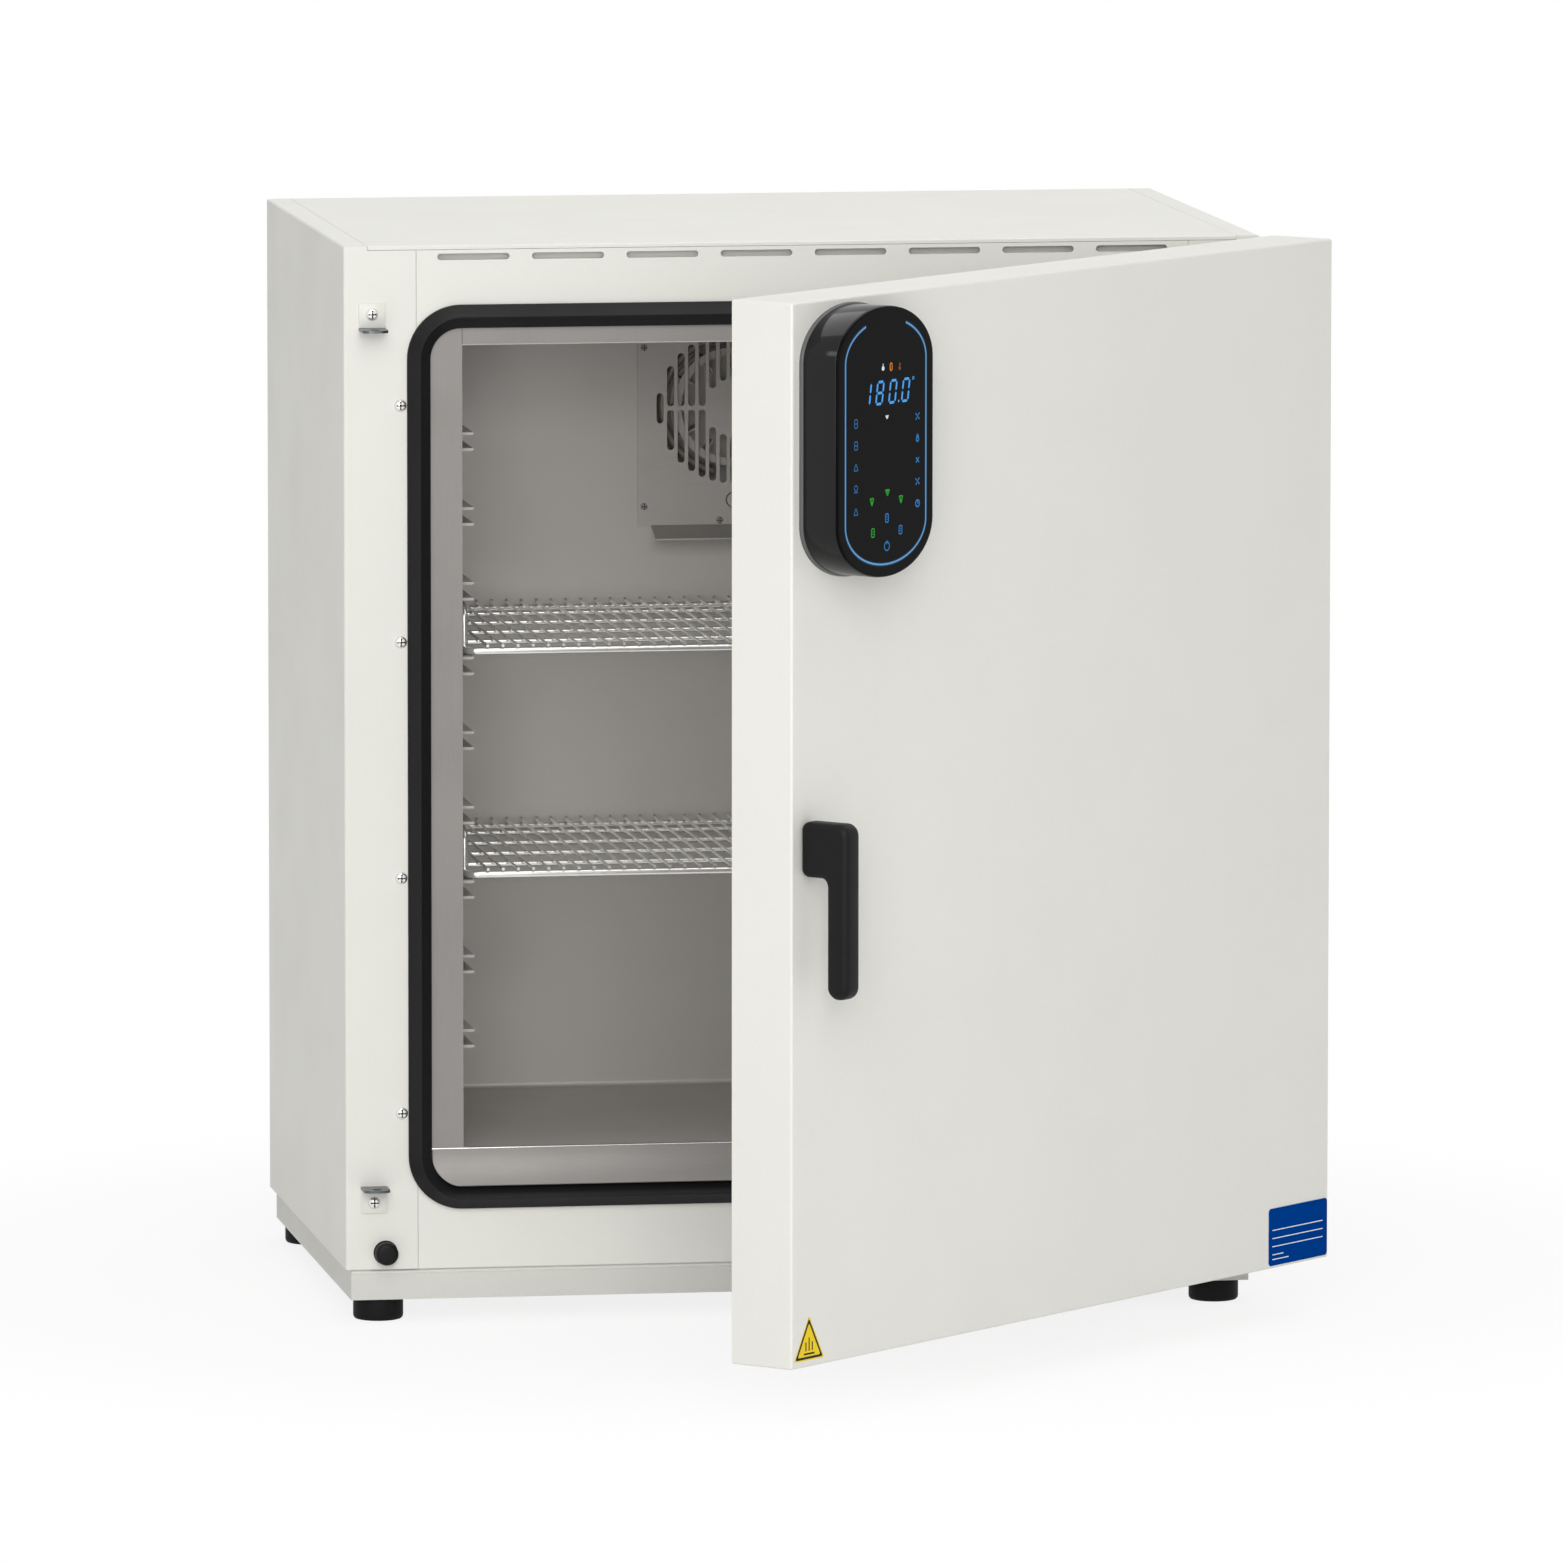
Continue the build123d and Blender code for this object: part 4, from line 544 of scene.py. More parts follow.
def step_in(bm: BMesh, face: BMFace, steps: Iterable[Pair]) -> None:
    """Shrink and lift a face in steps, with a band of faces left round it at each.

    Args:
        bm: mesh of the face.
        face: face that moves, which stays the innermost one.
        steps: how far each step goes in and up.
    """
    if face.normal.z < 0:
        bmesh.ops.reverse_faces(bm, faces=[face])
    for inward, upward in steps:
        bmesh.ops.inset_region(bm, faces=[face], thickness=inward, depth=upward, use_even_offset=True,
                               use_boundary=True)


def close_ring(bm: BMesh) -> None:
    """Close an open ring of bands along its foot."""
    bmesh.ops.bridge_loops(bm, edges=[edge for edge in bm.edges if edge.is_boundary])


def close_bottom(bm: BMesh) -> None:
    """Close the one open foot of a shape."""
    bmesh.ops.holes_fill(bm, edges=[edge for edge in bm.edges if edge.is_boundary])


def extrude(bm: BMesh, faces: Sequence[BMFace], offset: Sequence[float]) -> list:
    """Draw faces out along an offset.

    Args:
        bm: mesh of the faces.
        faces: the faces, which stay where they are.
        offset: how far and where their copies go.

    Returns:
        The new points, edges and faces.
    """
    made = bmesh.ops.extrude_face_region(bm, geom=faces)["geom"]
    bmesh.ops.translate(bm, vec=offset, verts=pick(made, BMVert))
    return made


def lathe(bm: BMesh, profile: Iterable[Pair], steps: int) -> list[BMFace]:
    """Turned shape round the Z axis.

    Args:
        bm: mesh that gets the shape.
        profile: radius and height of each point, from one end of the axis to the other.
        steps: facets round the axis.

    Returns:
        The new faces.
    """
    before = len(bm.faces)
    verts = [bm.verts.new((radius, 0.0, height)) for radius, height in profile]
    edges = [bm.edges.new(pair) for pair in zip(verts, verts[1:])]
    bmesh.ops.spin(bm, geom=verts + edges, cent=(0, 0, 0), axis=(0, 0, 1), angle=2 * math.pi, steps=steps,
                   use_merge=True)
    bmesh.ops.remove_doubles(bm, verts=bm.verts, dist=WELD)
    bm.faces.ensure_lookup_table()
    return bm.faces[before:]


def ring_at(bm: BMesh, centre: Sequence[float], along: Sequence[float], radius: float,
            sides: int) -> list[BMEdge]:
    """Closed circle from which a rod is drawn.

    Args:
        bm: mesh that gets the circle.
        centre: its middle.
        along: direction of the rod.
        radius: the rod's radius.
        sides: facets round the rod.

    Returns:
        The circle's edges.
    """
    verts = bmesh.ops.create_circle(bm, cap_ends=True, radius=radius, segments=sides,
                                    matrix=seat(centre, along))["verts"]
    return list({edge for vert in verts for edge in vert.link_edges})


def run(bm: BMesh, ring: list[BMEdge], offset: Sequence[float]) -> list[BMEdge]:
    """Draw a rod along a straight stretch.

    Args:
        bm: mesh of the rod.
        ring: edges at the rod's end.
        offset: how far and where the end goes.

    Returns:
        The edges at the new end.
    """
    made = bmesh.ops.extrude_edge_only(bm, edges=ring)["geom"]
    bmesh.ops.translate(bm, vec=offset, verts=pick(made, BMVert))
    return pick(made, BMEdge)


def turn(bm: BMesh, ring: list[BMEdge], centre: Sequence[float], axis: Sequence[float], angle: float,
         steps: int = CORNER) -> list[BMEdge]:
    """Draw a rod round a bend.

    Args:
        bm: mesh of the rod.
        ring: edges at the rod's end.
        centre: point that the bend turns about.
        axis: axis of the bend.
        angle: turn in degrees.
        steps: facets along the bend.

    Returns:
        The edges at the new end.
    """
    verts = list({vert for edge in ring for vert in edge.verts})
    made = bmesh.ops.spin(bm, geom=verts + ring, cent=centre, axis=axis, angle=math.radians(angle),
                          steps=steps, use_merge=False)["geom_last"]
    return pick(made, BMEdge)


def cap(bm: BMesh, ring: list[BMEdge]) -> None:
    """Close the end of a rod."""
    bmesh.ops.edgeloop_fill(bm, edges=ring)


def cross_rod(bm: BMesh, end: Triple, radius: float, sides: int) -> None:
    """Straight closed rod from side to side, whose left end mirrors the right one."""
    x, y, z = end
    cap(bm, run(bm, ring_at(bm, (-x, y, z), (1, 0, 0), radius, sides), (2 * x, 0, 0)))


def add_bead(name: str, finish: Finish, slot: str, end: Triple, radius: float,
             sides: int = ROD_SIDES) -> None:
    """Make a rounded edge of a sheet as a piece of the cabinet.

    Args:
        name: name of the piece.
        finish: its finish.
        slot: not used.
        end: its right end, which the left one mirrors.
        radius: its radius.
        sides: facets round it.
    """
    bm = bmesh.new()
    cross_rod(bm, end, radius, sides)
    place_piece(name, bm, finish, "cabinet", limit=60)


def block(bm: BMesh, x: Pair, y: Pair, z: Pair, edge: float) -> None:
    """Block between limits, with its edges rounded.

    Args:
        bm: mesh that gets the block.
        x: limits across.
        y: limits in depth.
        z: limits in height.
        edge: radius of the edges.
    """
    verts = bmesh.ops.create_cube(bm, size=1.0)["verts"]
    bmesh.ops.scale(bm, vec=[high - low for low, high in (x, y, z)], verts=verts)
    bmesh.ops.translate(bm, vec=[(low + high) / 2 for low, high in (x, y, z)], verts=verts)
    bevel(bm, list({link for vert in verts for link in vert.link_edges}), edge, 2, Rounded.EDGES)


@dataclass(frozen=True)
class ScrewHead:
    """Domed screw head with a cross recess, whose faces take the second finish, a painted shade."""

    radius: float = 4.7
    height: float = 2.6
    recess: float = 1.6
    arm: float = 3.0
    steps: int = 24
    hub_share: float = 0.32
    crown_share: float = 0.94
    dome_shares: Steps = ((0.74, 0.76), (0.93, 0.42), (1.0, 0.12), (0.985, 0.0))

    def draw(self, bm: BMesh) -> None:
        """Add one head that stands on the plane Z = 0.

        Args:
            bm: mesh that gets the head.
        """
        hub = self.arm * self.hub_share
        profile = [(0.0, self.height), (hub, self.height), (self.arm, self.height * self.crown_share)]
        profile += [(self.radius * out, self.height * up) for out, up in self.dome_shares]
        quarter = self.steps // 4
        chosen = []
        for face in lathe(bm, profile, self.steps):
            middle = face.calc_center_median()
            reach = math.hypot(middle.x, middle.y)
            sector = int(math.degrees(math.atan2(middle.y, middle.x)) % 360 / (360 / self.steps))
            if reach < hub or (reach < self.arm and sector % quarter in (0, quarter - 1)):
                chosen.append(face)
        floor = pick(extrude(bm, chosen, (0, 0, -self.recess)), BMFace)
        bmesh.ops.delete(bm, geom=chosen, context="FACES_ONLY")
        # The recess and the faces round it take the painted shade
        for face in {near for low in floor for edge in low.edges for near in edge.link_faces}:
            face.material_index = 1


def add_screws(name: str, node: str, seats: Iterable[Matrix], plating: Finish = ZINC_PLATE,
               head: ScrewHead = ScrewHead(), body: str = "cabinet") -> None:
    """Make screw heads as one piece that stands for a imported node.

    Args:
        name: name of the piece.
        node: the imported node.
        seats: placement of each head.
        plating: finish of the heads.
        head: shape of one head.
        body: body that the screws ride on.
    """
    bm = bmesh.new()
    repeat(bm, head.draw, seats)
    place_piece(name, bm, [plating, RECESS_SHADE], body, stands_for=node)


@dataclass
class Casing:
    """Painted outer casing with its plinth, feet, screws and rear openings."""

    foot_x: float = 322.0
    foot_inset: float = 26.0
    foot_profile: Steps = ((0.0, 17.0), (18.1, 17.0), (18.8, 16.7), (19.0, 16.0), (19.0, 3.0), (18.6, 1.5),
                           (17.6, 0.4), (16.2, 0.0), (8.0, 0.0), (7.0, 2.5), (0.0, 2.5))
    sheet: float = 1.2
    rear_screw_x: float = 338.0
    rear_screws: tuple[float, ...] = (79.0, 254.0, 429.0, 604.0, 779.0)
    # Middle of each service plate, and how far its screws stand from it
    rear_plates: tuple[tuple[float, ...], ...] = ((-250.0, 105.0, 74.0, 39.0), (180.0, 690.0, 36.0, 36.0))
    louvre_x: float = 180.0
    louvre_z: float = 170.0
    louvre_pitch: float = 16.0
    louvre_rows: int = 6
    # Width, height and corner radius of a hood, and how far each step of it goes in and up
    hood_size: Triple = (88.0, 12.0, 5.0)
    hood_steps: Steps = ((0.8, 0.5), (1.4, 1.5), (1.4, 0.9), (1.2, 0.5))
    hood_cut: float = -2.2
    hood_hollow: Triple = (0.986, 0.88, 0.8)
    baffle: tuple[Limits, ...] = (
        ((-286.0, 286.0), (FRONT + 9.0, FRONT + 10.0), (800.0, 813.0)),
        ((-286.0, 286.0), (FRONT + 9.0, FRONT + 17.0), (799.0, 800.0)))
    baffle_edge: float = 0.3
    # Right end, radius and facets of the plinth's top bend, whose paler casing coat is a painted highlight
    plinth_bend: tuple[Triple, float, int] = ((345.0, FRONT + 5.2, 38.3), 1.5, 12)

    def build(self) -> None:
        """Dress the sheets and add the feet, the screws, the hoods, the baffle and the bend."""
        dress(CASING_PAINT, "left_side_panel", "right_side_panel", "top_panel", "front_frame")
        # The plinth's greyer coat is painted shade
        dress(PLINTH_PAINT, "base_plinth")
        dress(GALVANISED, "rear_panel", "service_plates")
        self.feet()
        self.rear_screw_heads()
        self.hoods()
        self.vent_baffle()
        # The plinth's top bend takes the paler casing coat: a painted highlight
        add_bead("plinth_bend", CASING_PAINT, "casing_paint", *self.plinth_bend)

    def feet(self) -> None:
        """Moulded feet with rounded rims and a hollow for the screw underneath."""
        bm = bmesh.new()
        spots = [Matrix.Translation((x, y, 0)) for x in (-self.foot_x, self.foot_x)
                 for y in (FRONT + self.foot_inset, BACK - self.foot_inset)]
        repeat(bm, partial(lathe, profile=self.foot_profile, steps=TURNED), spots)
        place_piece("moulded_feet", bm, FOOT_RUBBER, "cabinet", stands_for="rubber_feet")

    def rear_screw_heads(self) -> None:
        """Domed screws of the rear panel and of the two plates on it."""
        spots = [(side * self.rear_screw_x, BACK + self.sheet, z)
                 for side in (-1, 1) for z in self.rear_screws]
        spots += [(x + i * reach_x, BACK + 2 * self.sheet, z + k * reach_z)
                  for x, z, reach_x, reach_z in self.rear_plates for i in (-1, 1) for k in (-1, 1)]
        add_screws("rear_dome_screws", "rear_panel_screws", [seat(spot, (0, 1, 0)) for spot in spots])

    def hood_shape(self, bm: BMesh) -> None:
        """Add one pressed louvre hood, open along its lower edge.

        Args:
            bm: empty mesh that gets the hood.
        """
        step_in(bm, plate(bm, *self.hood_size, CORNER), self.hood_steps)
        bmesh.ops.bisect_plane(bm, geom=bm.verts[:] + bm.edges[:] + bm.faces[:],
                               plane_co=(0, self.hood_cut, 0), plane_no=(0, -1, 0), clear_outer=True)
        made = extrude(bm, bm.faces[:], (0, 0, 0))
        bmesh.ops.scale(bm, vec=self.hood_hollow, verts=pick(made, BMVert))

    def hoods(self) -> None:
        """Pressed hoods over the rear louvres."""
        bm = bmesh.new()
        repeat(bm, self.hood_shape,
               [seat((side * self.louvre_x, BACK + self.sheet, self.louvre_z + row * self.louvre_pitch),
                     (0, 1, 0)) for side in (-1, 1) for row in range(self.louvre_rows)])
        place_piece("rear_louvre_hoods", bm, GALVANISED, "cabinet")

    def vent_baffle(self) -> None:
        """Bent strip close behind the front's vent slots, which shows through them in the shade."""
        bm = bmesh.new()
        for limits in self.baffle:
            block(bm, *limits, self.baffle_edge)
        place_piece("vent_baffle", bm, CASING_PAINT, "cabinet")


@dataclass
class Wool:
    """Mineral-wool boards round the chamber and in the door, with rounded arrises and a soft swell."""

    swell: float = 1.2
    cell: float = 30.0
    arris: float = 3.0
    # Rate and phase of the swell's waves across, in depth and in height
    waves: Steps = ((0.21, 0.0), (0.17, 1.0), (0.19, 2.0))
    surface_reach: float = 0.01
    y: Pair = (FRONT + 1.7, FRONT + 397.8)
    back_y: Pair = (FRONT + 343.4, FRONT + 397.8)
    inner_x: float = 261.0
    outer_x: float = 301.0
    low: Pair = (89.4, 129.0)
    high: Pair = (743.4, 783.0)
    joint: float = 0.4
    fan_x: float = 74.2
    fan_z: Pair = (565.8, 726.2)
    duct_x: Pair = (155.4, 204.6)
    duct_z: Pair = (665.4, 714.6)
    door_board: Limits = ((-299.8, 339.8), (DOOR_OUTER + 1.4, DOOR_INNER - 1.4), (48.2, 814.3))

    def build(self) -> None:
        """Make the jacket's boards and the door's board."""
        x, far = self.inner_x, self.outer_x
        low, high = self.low[1] + self.joint, self.high[0] - self.joint
        boards = [((side * x, side * far), self.y, (self.low[0], self.high[1])) for side in (-1, 1)]
        boards += [((-x, x), self.y, limits) for limits in (self.low, self.high)]
        boards += [(across, self.back_y, limits) for across, limits in (
            ((-x, -self.fan_x), (low, high)),
            ((-self.fan_x, self.fan_x), (low, self.fan_z[0])),
            ((-self.fan_x, self.fan_x), (self.fan_z[1], high)),
            ((self.fan_x, x), (low, self.duct_z[0])),
            ((self.fan_x, self.duct_x[0]), self.duct_z),
            ((self.duct_x[1], x), self.duct_z),
            ((self.fan_x, x), (self.duct_z[1], high)))]
        self.add_boards("wool_jacket_boards", "insulation_jacket", boards, "cabinet", FIXED)
        self.add_boards("wool_door_board", "door_insulation", [self.door_board], "door", SWUNG)

    def add_boards(self, name: str, node: str, boards: Iterable[Limits], body: str, at: Matrix) -> None:
        """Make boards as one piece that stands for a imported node.

        Args:
            name: name of the piece.
            node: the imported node.
            boards: limits of each board across, in depth and in height.
            body: body that the boards ride on.
            at: placement in millimetres.
        """
        bm = bmesh.new()
        for limits in boards:
            repeat(bm, partial(self.board, limits=limits), [FIXED])
        place_piece(name, bm, WOOL, body, at, node)

    def board(self, bm: BMesh, limits: Limits) -> None:
        """Draw one board whose faces dip a little between the knots of the felt.

        Args:
            bm: empty mesh that gets the board.
            limits: its limits across, in depth and in height.
        """
        limits = [(min(pair), max(pair)) for pair in limits]
        block(bm, *limits, self.arris)
        for axis, (low, high) in enumerate(limits):
            normal = Vector([float(axis == n) for n in range(3)])
            cuts = int((high - low) / self.cell)
            for n in range(1, cuts + 1):
                bmesh.ops.bisect_plane(bm, geom=bm.verts[:] + bm.edges[:] + bm.faces[:], plane_no=normal,
                                       plane_co=normal * (low + (high - low) * n / (cuts + 1)))
        for vert in bm.verts:
            wave = math.prod(math.sin(part * rate + phase)
                             for part, (rate, phase) in zip(vert.co, self.waves))
            for axis, (low, high) in enumerate(limits):
                for edge, inward in ((low, 1.0), (high, -1.0)):
                    if abs(vert.co[axis] - edge) < self.surface_reach:
                        vert.co[axis] += inward * self.swell * (0.5 + 0.5 * wave)


@dataclass
class Chamber:
    """Stainless chamber with its rubber gasket, sill and shelf ledges."""

    # Width, height and corner radius
    gasket_size: Triple = (604.0, 686.0, 41.0)
    gasket_middle: float = 429.3
    gasket_strip: float = 17.5
    gasket_facets: int = 16
    gasket_slope: Steps = ((0.0, 3.0), (0.4, 0.8), (0.5, 0.35), (6.4, 6.2), (0.8, 0.9), (0.5, 0.35))
    mouth_x: float = 260.0
    joint_half: float = 0.3
    joint_y: Pair = (FRONT - 0.1, FRONT + 0.3)
    joint_z: Pair = (742.7, 754.6)
    joint_edge: float = 0.05
    # Right end and radius of each bead
    roof_bead: tuple[Triple, float] = ((260.0, FRONT + 0.3, 742.0), 0.6)
    sill_bead: tuple[Triple, float] = ((284.2, FRONT + 0.2, 131.9), 0.7)

    def build(self) -> None:
        """Dress the sheet pieces and add the gasket, the beads and the joints."""
        dress(STAINLESS, "chamber_liner")
        dress(STAINLESS_PRESSED, "chamber_sill")
        dress(STAINLESS_DULL, "left_shelf_ledges", "right_shelf_ledges")
        self.gasket()
        # The sill bead's near-white steel is a painted highlight along the sill's rolled edge
        add_bead("sill_bead", BRIGHT_EDGE, "stainless", *self.sill_bead)
        # The roof bead's pale steel paints a highlight along the roof's rolled edge
        add_bead("roof_bead", STAINLESS_DULL, "stainless", *self.roof_bead)
        self.flange_joints()

    def flange_joints(self) -> None:
        """Joints between the top and the sides of the chamber's flange."""
        bm = bmesh.new()
        for x in (-self.mouth_x, self.mouth_x):
            block(bm, (x - self.joint_half, x + self.joint_half), self.joint_y, self.joint_z, self.joint_edge)
        place_piece("flange_joint_lines", bm, JOINT_SHADE, "cabinet")

    def gasket(self) -> None:
        """Gasket with a flat foot, two slopes and a rounded crest."""
        fall = [(inward, -upward) for inward, upward in reversed(self.gasket_slope)]
        crest = self.gasket_strip - 2 * sum(inward for inward, _ in self.gasket_slope)
        bm = bmesh.new()
        face = plate(bm, *self.gasket_size, self.gasket_facets)
        step_in(bm, face, [*self.gasket_slope, (crest, 0.0), *fall])
        bmesh.ops.delete(bm, geom=[face], context="FACES_ONLY")
        close_ring(bm)
        place_piece("profiled_gasket", bm, RUBBER, "cabinet",
                    front_view(FRONT, 0, self.gasket_middle), "door_gasket")


@dataclass
class WireShelf:
    """Pull-out shelf of polished wire: a rod rectangle, side hoops and a welded grid."""

    name: str
    level: float
    half_width: float = 253.0
    front: float = -203.0
    back: float = 102.0
    rod: float = 3.0
    rod_sides: int = 16
    corner: float = 8.0
    hoop_inset: float = 18.0
    hoop_rise: float = 33.0
    hoop_bend: float = 12.0
    hoop_sides: int = 14
    # Height of the hoops' feet over the rod's axis, and the cross wires' end from it, in rod radii
    hoop_foot: float = 0.4
    cross_end: float = 0.6
    wire: float = 1.25
    wire_sides: int = 8
    wires: int = 42
    pitch: float = 11.6
    overhang: float = 3.0
    # Stretches of a wire: its straight start, what the rear keeps of its length, and its upturned tip
    wire_lead: float = 1.0
    wire_tail: float = 6.0
    wire_tip: Triple = (0.0, 1.0, 1.2)
    # Middle of the rear bend from the wire's end and axis, and its turn in degrees
    tip_bend: Triple = (5.0, 2.6, 50.0)
    tip_facets: int = 3
    cross: float = 2.0
    cross_sink: float = 0.4
    cross_count: int = 4
    cross_pitch: float = 66.0

    def build(self) -> None:
        """Make the frame and the grid of the shelf."""
        bm = bmesh.new()
        self.loop(bm)
        for side in (-1, 1):
            self.hoop(bm, side * self.half_width)
        place_piece(f"{self.name}_rods", bm, CHROME_WIRE, self.name,
                    stands_for=f"{self.name}_frame", limit=60)
        bm = bmesh.new()
        self.grid(bm)
        place_piece(f"{self.name}_wires", bm, CHROME_WIRE, self.name,
                    stands_for=f"{self.name}_grid", limit=60)

    def loop(self, bm: BMesh) -> None:
        """Add the rod rectangle with its rounded corners.

        Args:
            bm: empty mesh that gets the rod.
        """
        x, front, back = self.half_width - self.corner, self.front + self.corner, self.back - self.corner
        ring = ring_at(bm, (-x, self.front, self.level), (1, 0, 0), self.rod, self.rod_sides)
        for offset, centre in (((2 * x, 0), (x, front)), ((0, back - front), (x, back)),
                               ((-2 * x, 0), (-x, back)), ((0, front - back), (-x, front))):
            ring = turn(bm, run(bm, ring, (*offset, 0)), (*centre, self.level), (0, 0, 1), 90)
        caps = [face for face in bm.faces if len(face.verts) == self.rod_sides]
        bmesh.ops.delete(bm, geom=caps, context="FACES_ONLY")

    def hoop(self, bm: BMesh, x: float) -> None:
        """Add a raised side hoop that stands on the frame.

        Args:
            bm: mesh that gets the hoop.
            x: where it stands across the oven.
        """
        low = self.level + self.rod * self.hoop_foot
        bend_z = self.level + self.hoop_rise - self.hoop_bend
        first, last = self.front + self.hoop_inset, self.back - self.hoop_inset
        ring = ring_at(bm, (x, first, low), (0, 0, 1), self.rod, self.hoop_sides)
        for offset, y in (((0, 0, bend_z - low), first + self.hoop_bend),
                          ((0, last - first - 2 * self.hoop_bend, 0), last - self.hoop_bend)):
            ring = turn(bm, run(bm, ring, offset), (x, y, bend_z), (-1, 0, 0), 90)
        cap(bm, run(bm, ring, (0, 0, low - bend_z)))

    def long_wire(self, bm: BMesh) -> None:
        """Add one wire from front to back whose rear end turns up.

        Args:
            bm: empty mesh that gets the wire.
        """
        z = self.level + self.rod + self.wire
        start, end = self.front - self.overhang, self.back + self.overhang
        ring = ring_at(bm, (0, start, z), (0, 1, 0), self.wire, self.wire_sides)
        for stretch in (self.wire_lead, end - start - self.wire_tail):
            ring = run(bm, ring, (0, stretch, 0))
        inset, rise, angle = self.tip_bend
        ring = turn(bm, ring, (0, end - inset, z + rise), (1, 0, 0), angle, self.tip_facets)
        cap(bm, run(bm, ring, self.wire_tip))

    def grid(self, bm: BMesh) -> None:
        """Add the wires from front to back and the cross wires that carry them.

        Args:
            bm: mesh that gets the wires.
        """
        middle = (self.wires - 1) / 2
        repeat(bm, self.long_wire,
               [Matrix.Translation(((n - middle) * self.pitch, 0, 0)) for n in range(self.wires)])
        centre = (self.front + self.back) / 2
        offsets = [(n - (self.cross_count - 1) / 2) * self.cross_pitch for n in range(self.cross_count)]
        end = (self.half_width - self.rod * self.cross_end, 0,
               self.level + self.rod - self.cross + self.cross_sink)
        repeat(bm, partial(cross_rod, end=end, radius=self.cross, sides=ROD_SIDES),
               [Matrix.Translation((0, centre + offset, 0)) for offset in offsets])


@dataclass
class Fan:
    """Circulation fan behind the slotted cover, with its heater, motor and probe."""

    cover_face: float = 112.8
    screws: Steps = ((-70.3, 707.0), (70.3, 707.0), (-70.3, 583.4), (70.3, 583.4), (-11.0, 572.0),
                     (11.0, 572.0))
    head: ScrewHead = ScrewHead(radius=2.8, height=1.5, recess=1.1, arm=1.9, steps=16)

    def build(self) -> None:
        """Dress the fan's pieces and add the cover's screws."""
        dress(STAINLESS_DULL, "fan_cover", "temperature_probe")
        # The housing, wheel and heater are painted paler: painted light behind the cover's slots
        dress(ALUMINISED, "fan_housing")
        dress(GALVANISED, "motor_bracket")
        dress(WHEEL_STEEL, "fan_wheel")
        dress(ZINC_PLATE, "fan_shaft")
        dress(MOTOR_PAINT, "fan_motor")
        dress(HEATER_TUBE, "heater_element")
        seats = [seat((x, self.cover_face, z), (0, -1, 0)) for x, z in self.screws]
        add_screws("cover_dome_screws", "fan_cover_screws", seats, STAINLESS_DULL, self.head)


@dataclass
class FrontFittings:
    """Screws down the front, the keepers and the door switch's button."""

    keeper_x: float = -328.5
    keeper_z: Pair = (765.9, 92.1)
    leg_z: tuple[Pair, Pair] = ((753.5, 774.0), (84.0, 104.5))
    leg_edge: float = 0.5
    tongue_z: Pair = (753.5, 102.5)
    # Width, reach and corner radius
    tongue: Triple = (20.0, 25.0, 6.0)
    strip: float = 2.0
    hole_y: float = FRONT - 19.0
    hole: float = 3.7
    hole_sides: int = 24
    frame_screw_x: float = 307.0
    frame_screws: tuple[float, ...] = (696.7, 517.7, 338.7, 159.7)
    button: Pair = (-319.6, 53.6)
    button_profile: Steps = ((0.0, 11.6), (5.22, 11.6), (7.1, 11.3), (8.2, 10.4), (8.6, 9.2), (8.6, 6.6),
                             (8.2, 6.2), (8.6, 5.8), (8.6, -1.6), (9.7, -1.6), (9.7, -3.4), (8.6, -3.5),
                             (8.6, -12.0), (0.0, -12.0))

    def build(self) -> None:
        """Make the keepers, the screws and the button."""
        dress(NYLON, "door_switch_body")
        for name, leg, level in zip(("upper_keeper", "lower_keeper"), self.leg_z, self.tongue_z):
            self.keeper(name, leg, level)
        spots = [(self.keeper_x, FRONT - self.strip, z) for z in self.keeper_z]
        spots += [(side * self.frame_screw_x, FRONT, z) for side in (-1, 1) for z in self.frame_screws]
        seats = [seat(spot, (0, -1, 0)) for spot in spots]
        add_screws("front_dome_screws", "front_screws", seats, CHROME_WIRE)
        bm = bmesh.new()
        lathe(bm, self.button_profile, TURNED)
        place_piece("door_switch_button", bm, NYLON, "door_switch",
                    seat((self.button[0], FRONT, self.button[1]), (0, -1, 0)), "door_switch_plunger")

    def keeper(self, name: str, leg: Pair, level: float) -> None:
        """Make one keeper: a painted leg with a steel tongue that has the lock's hole.

        Args:
            name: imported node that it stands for.
            leg: limits of the leg in height.
            level: underside of the tongue.
        """
        width, reach, corner = self.tongue
        bm = bmesh.new()
        verts = bar(bm, (self.keeper_x, FRONT - reach / 2, level), (width, reach))
        bevel(bm, [vert for vert in verts if vert.co.y < FRONT - reach / 2], corner, CORNER)
        bmesh.ops.delete(bm, geom=bm.faces[:], context="FACES_ONLY")
        bmesh.ops.create_circle(bm, radius=self.hole, segments=self.hole_sides,
                                matrix=Matrix.Translation((self.keeper_x, self.hole_y, level)))
        extrude(bm, bmesh.ops.bridge_loops(bm, edges=bm.edges[:])["faces"], (0, 0, self.strip))
        # The tongue takes the striker steel, whose dark grey is a painted reflection
        for face in bm.faces:
            face.material_index = 1
        low, high = leg
        low, high = (low + self.strip, high) if level <= low else (low, high - self.strip)
        block(bm, (self.keeper_x - width / 2, self.keeper_x + width / 2), (FRONT - self.strip, FRONT),
              (low, high), self.leg_edge)
        place_piece(f"{name}_strip", bm, [CASING_PAINT, STRIKER_STEEL], "cabinet",
                    stands_for=name)


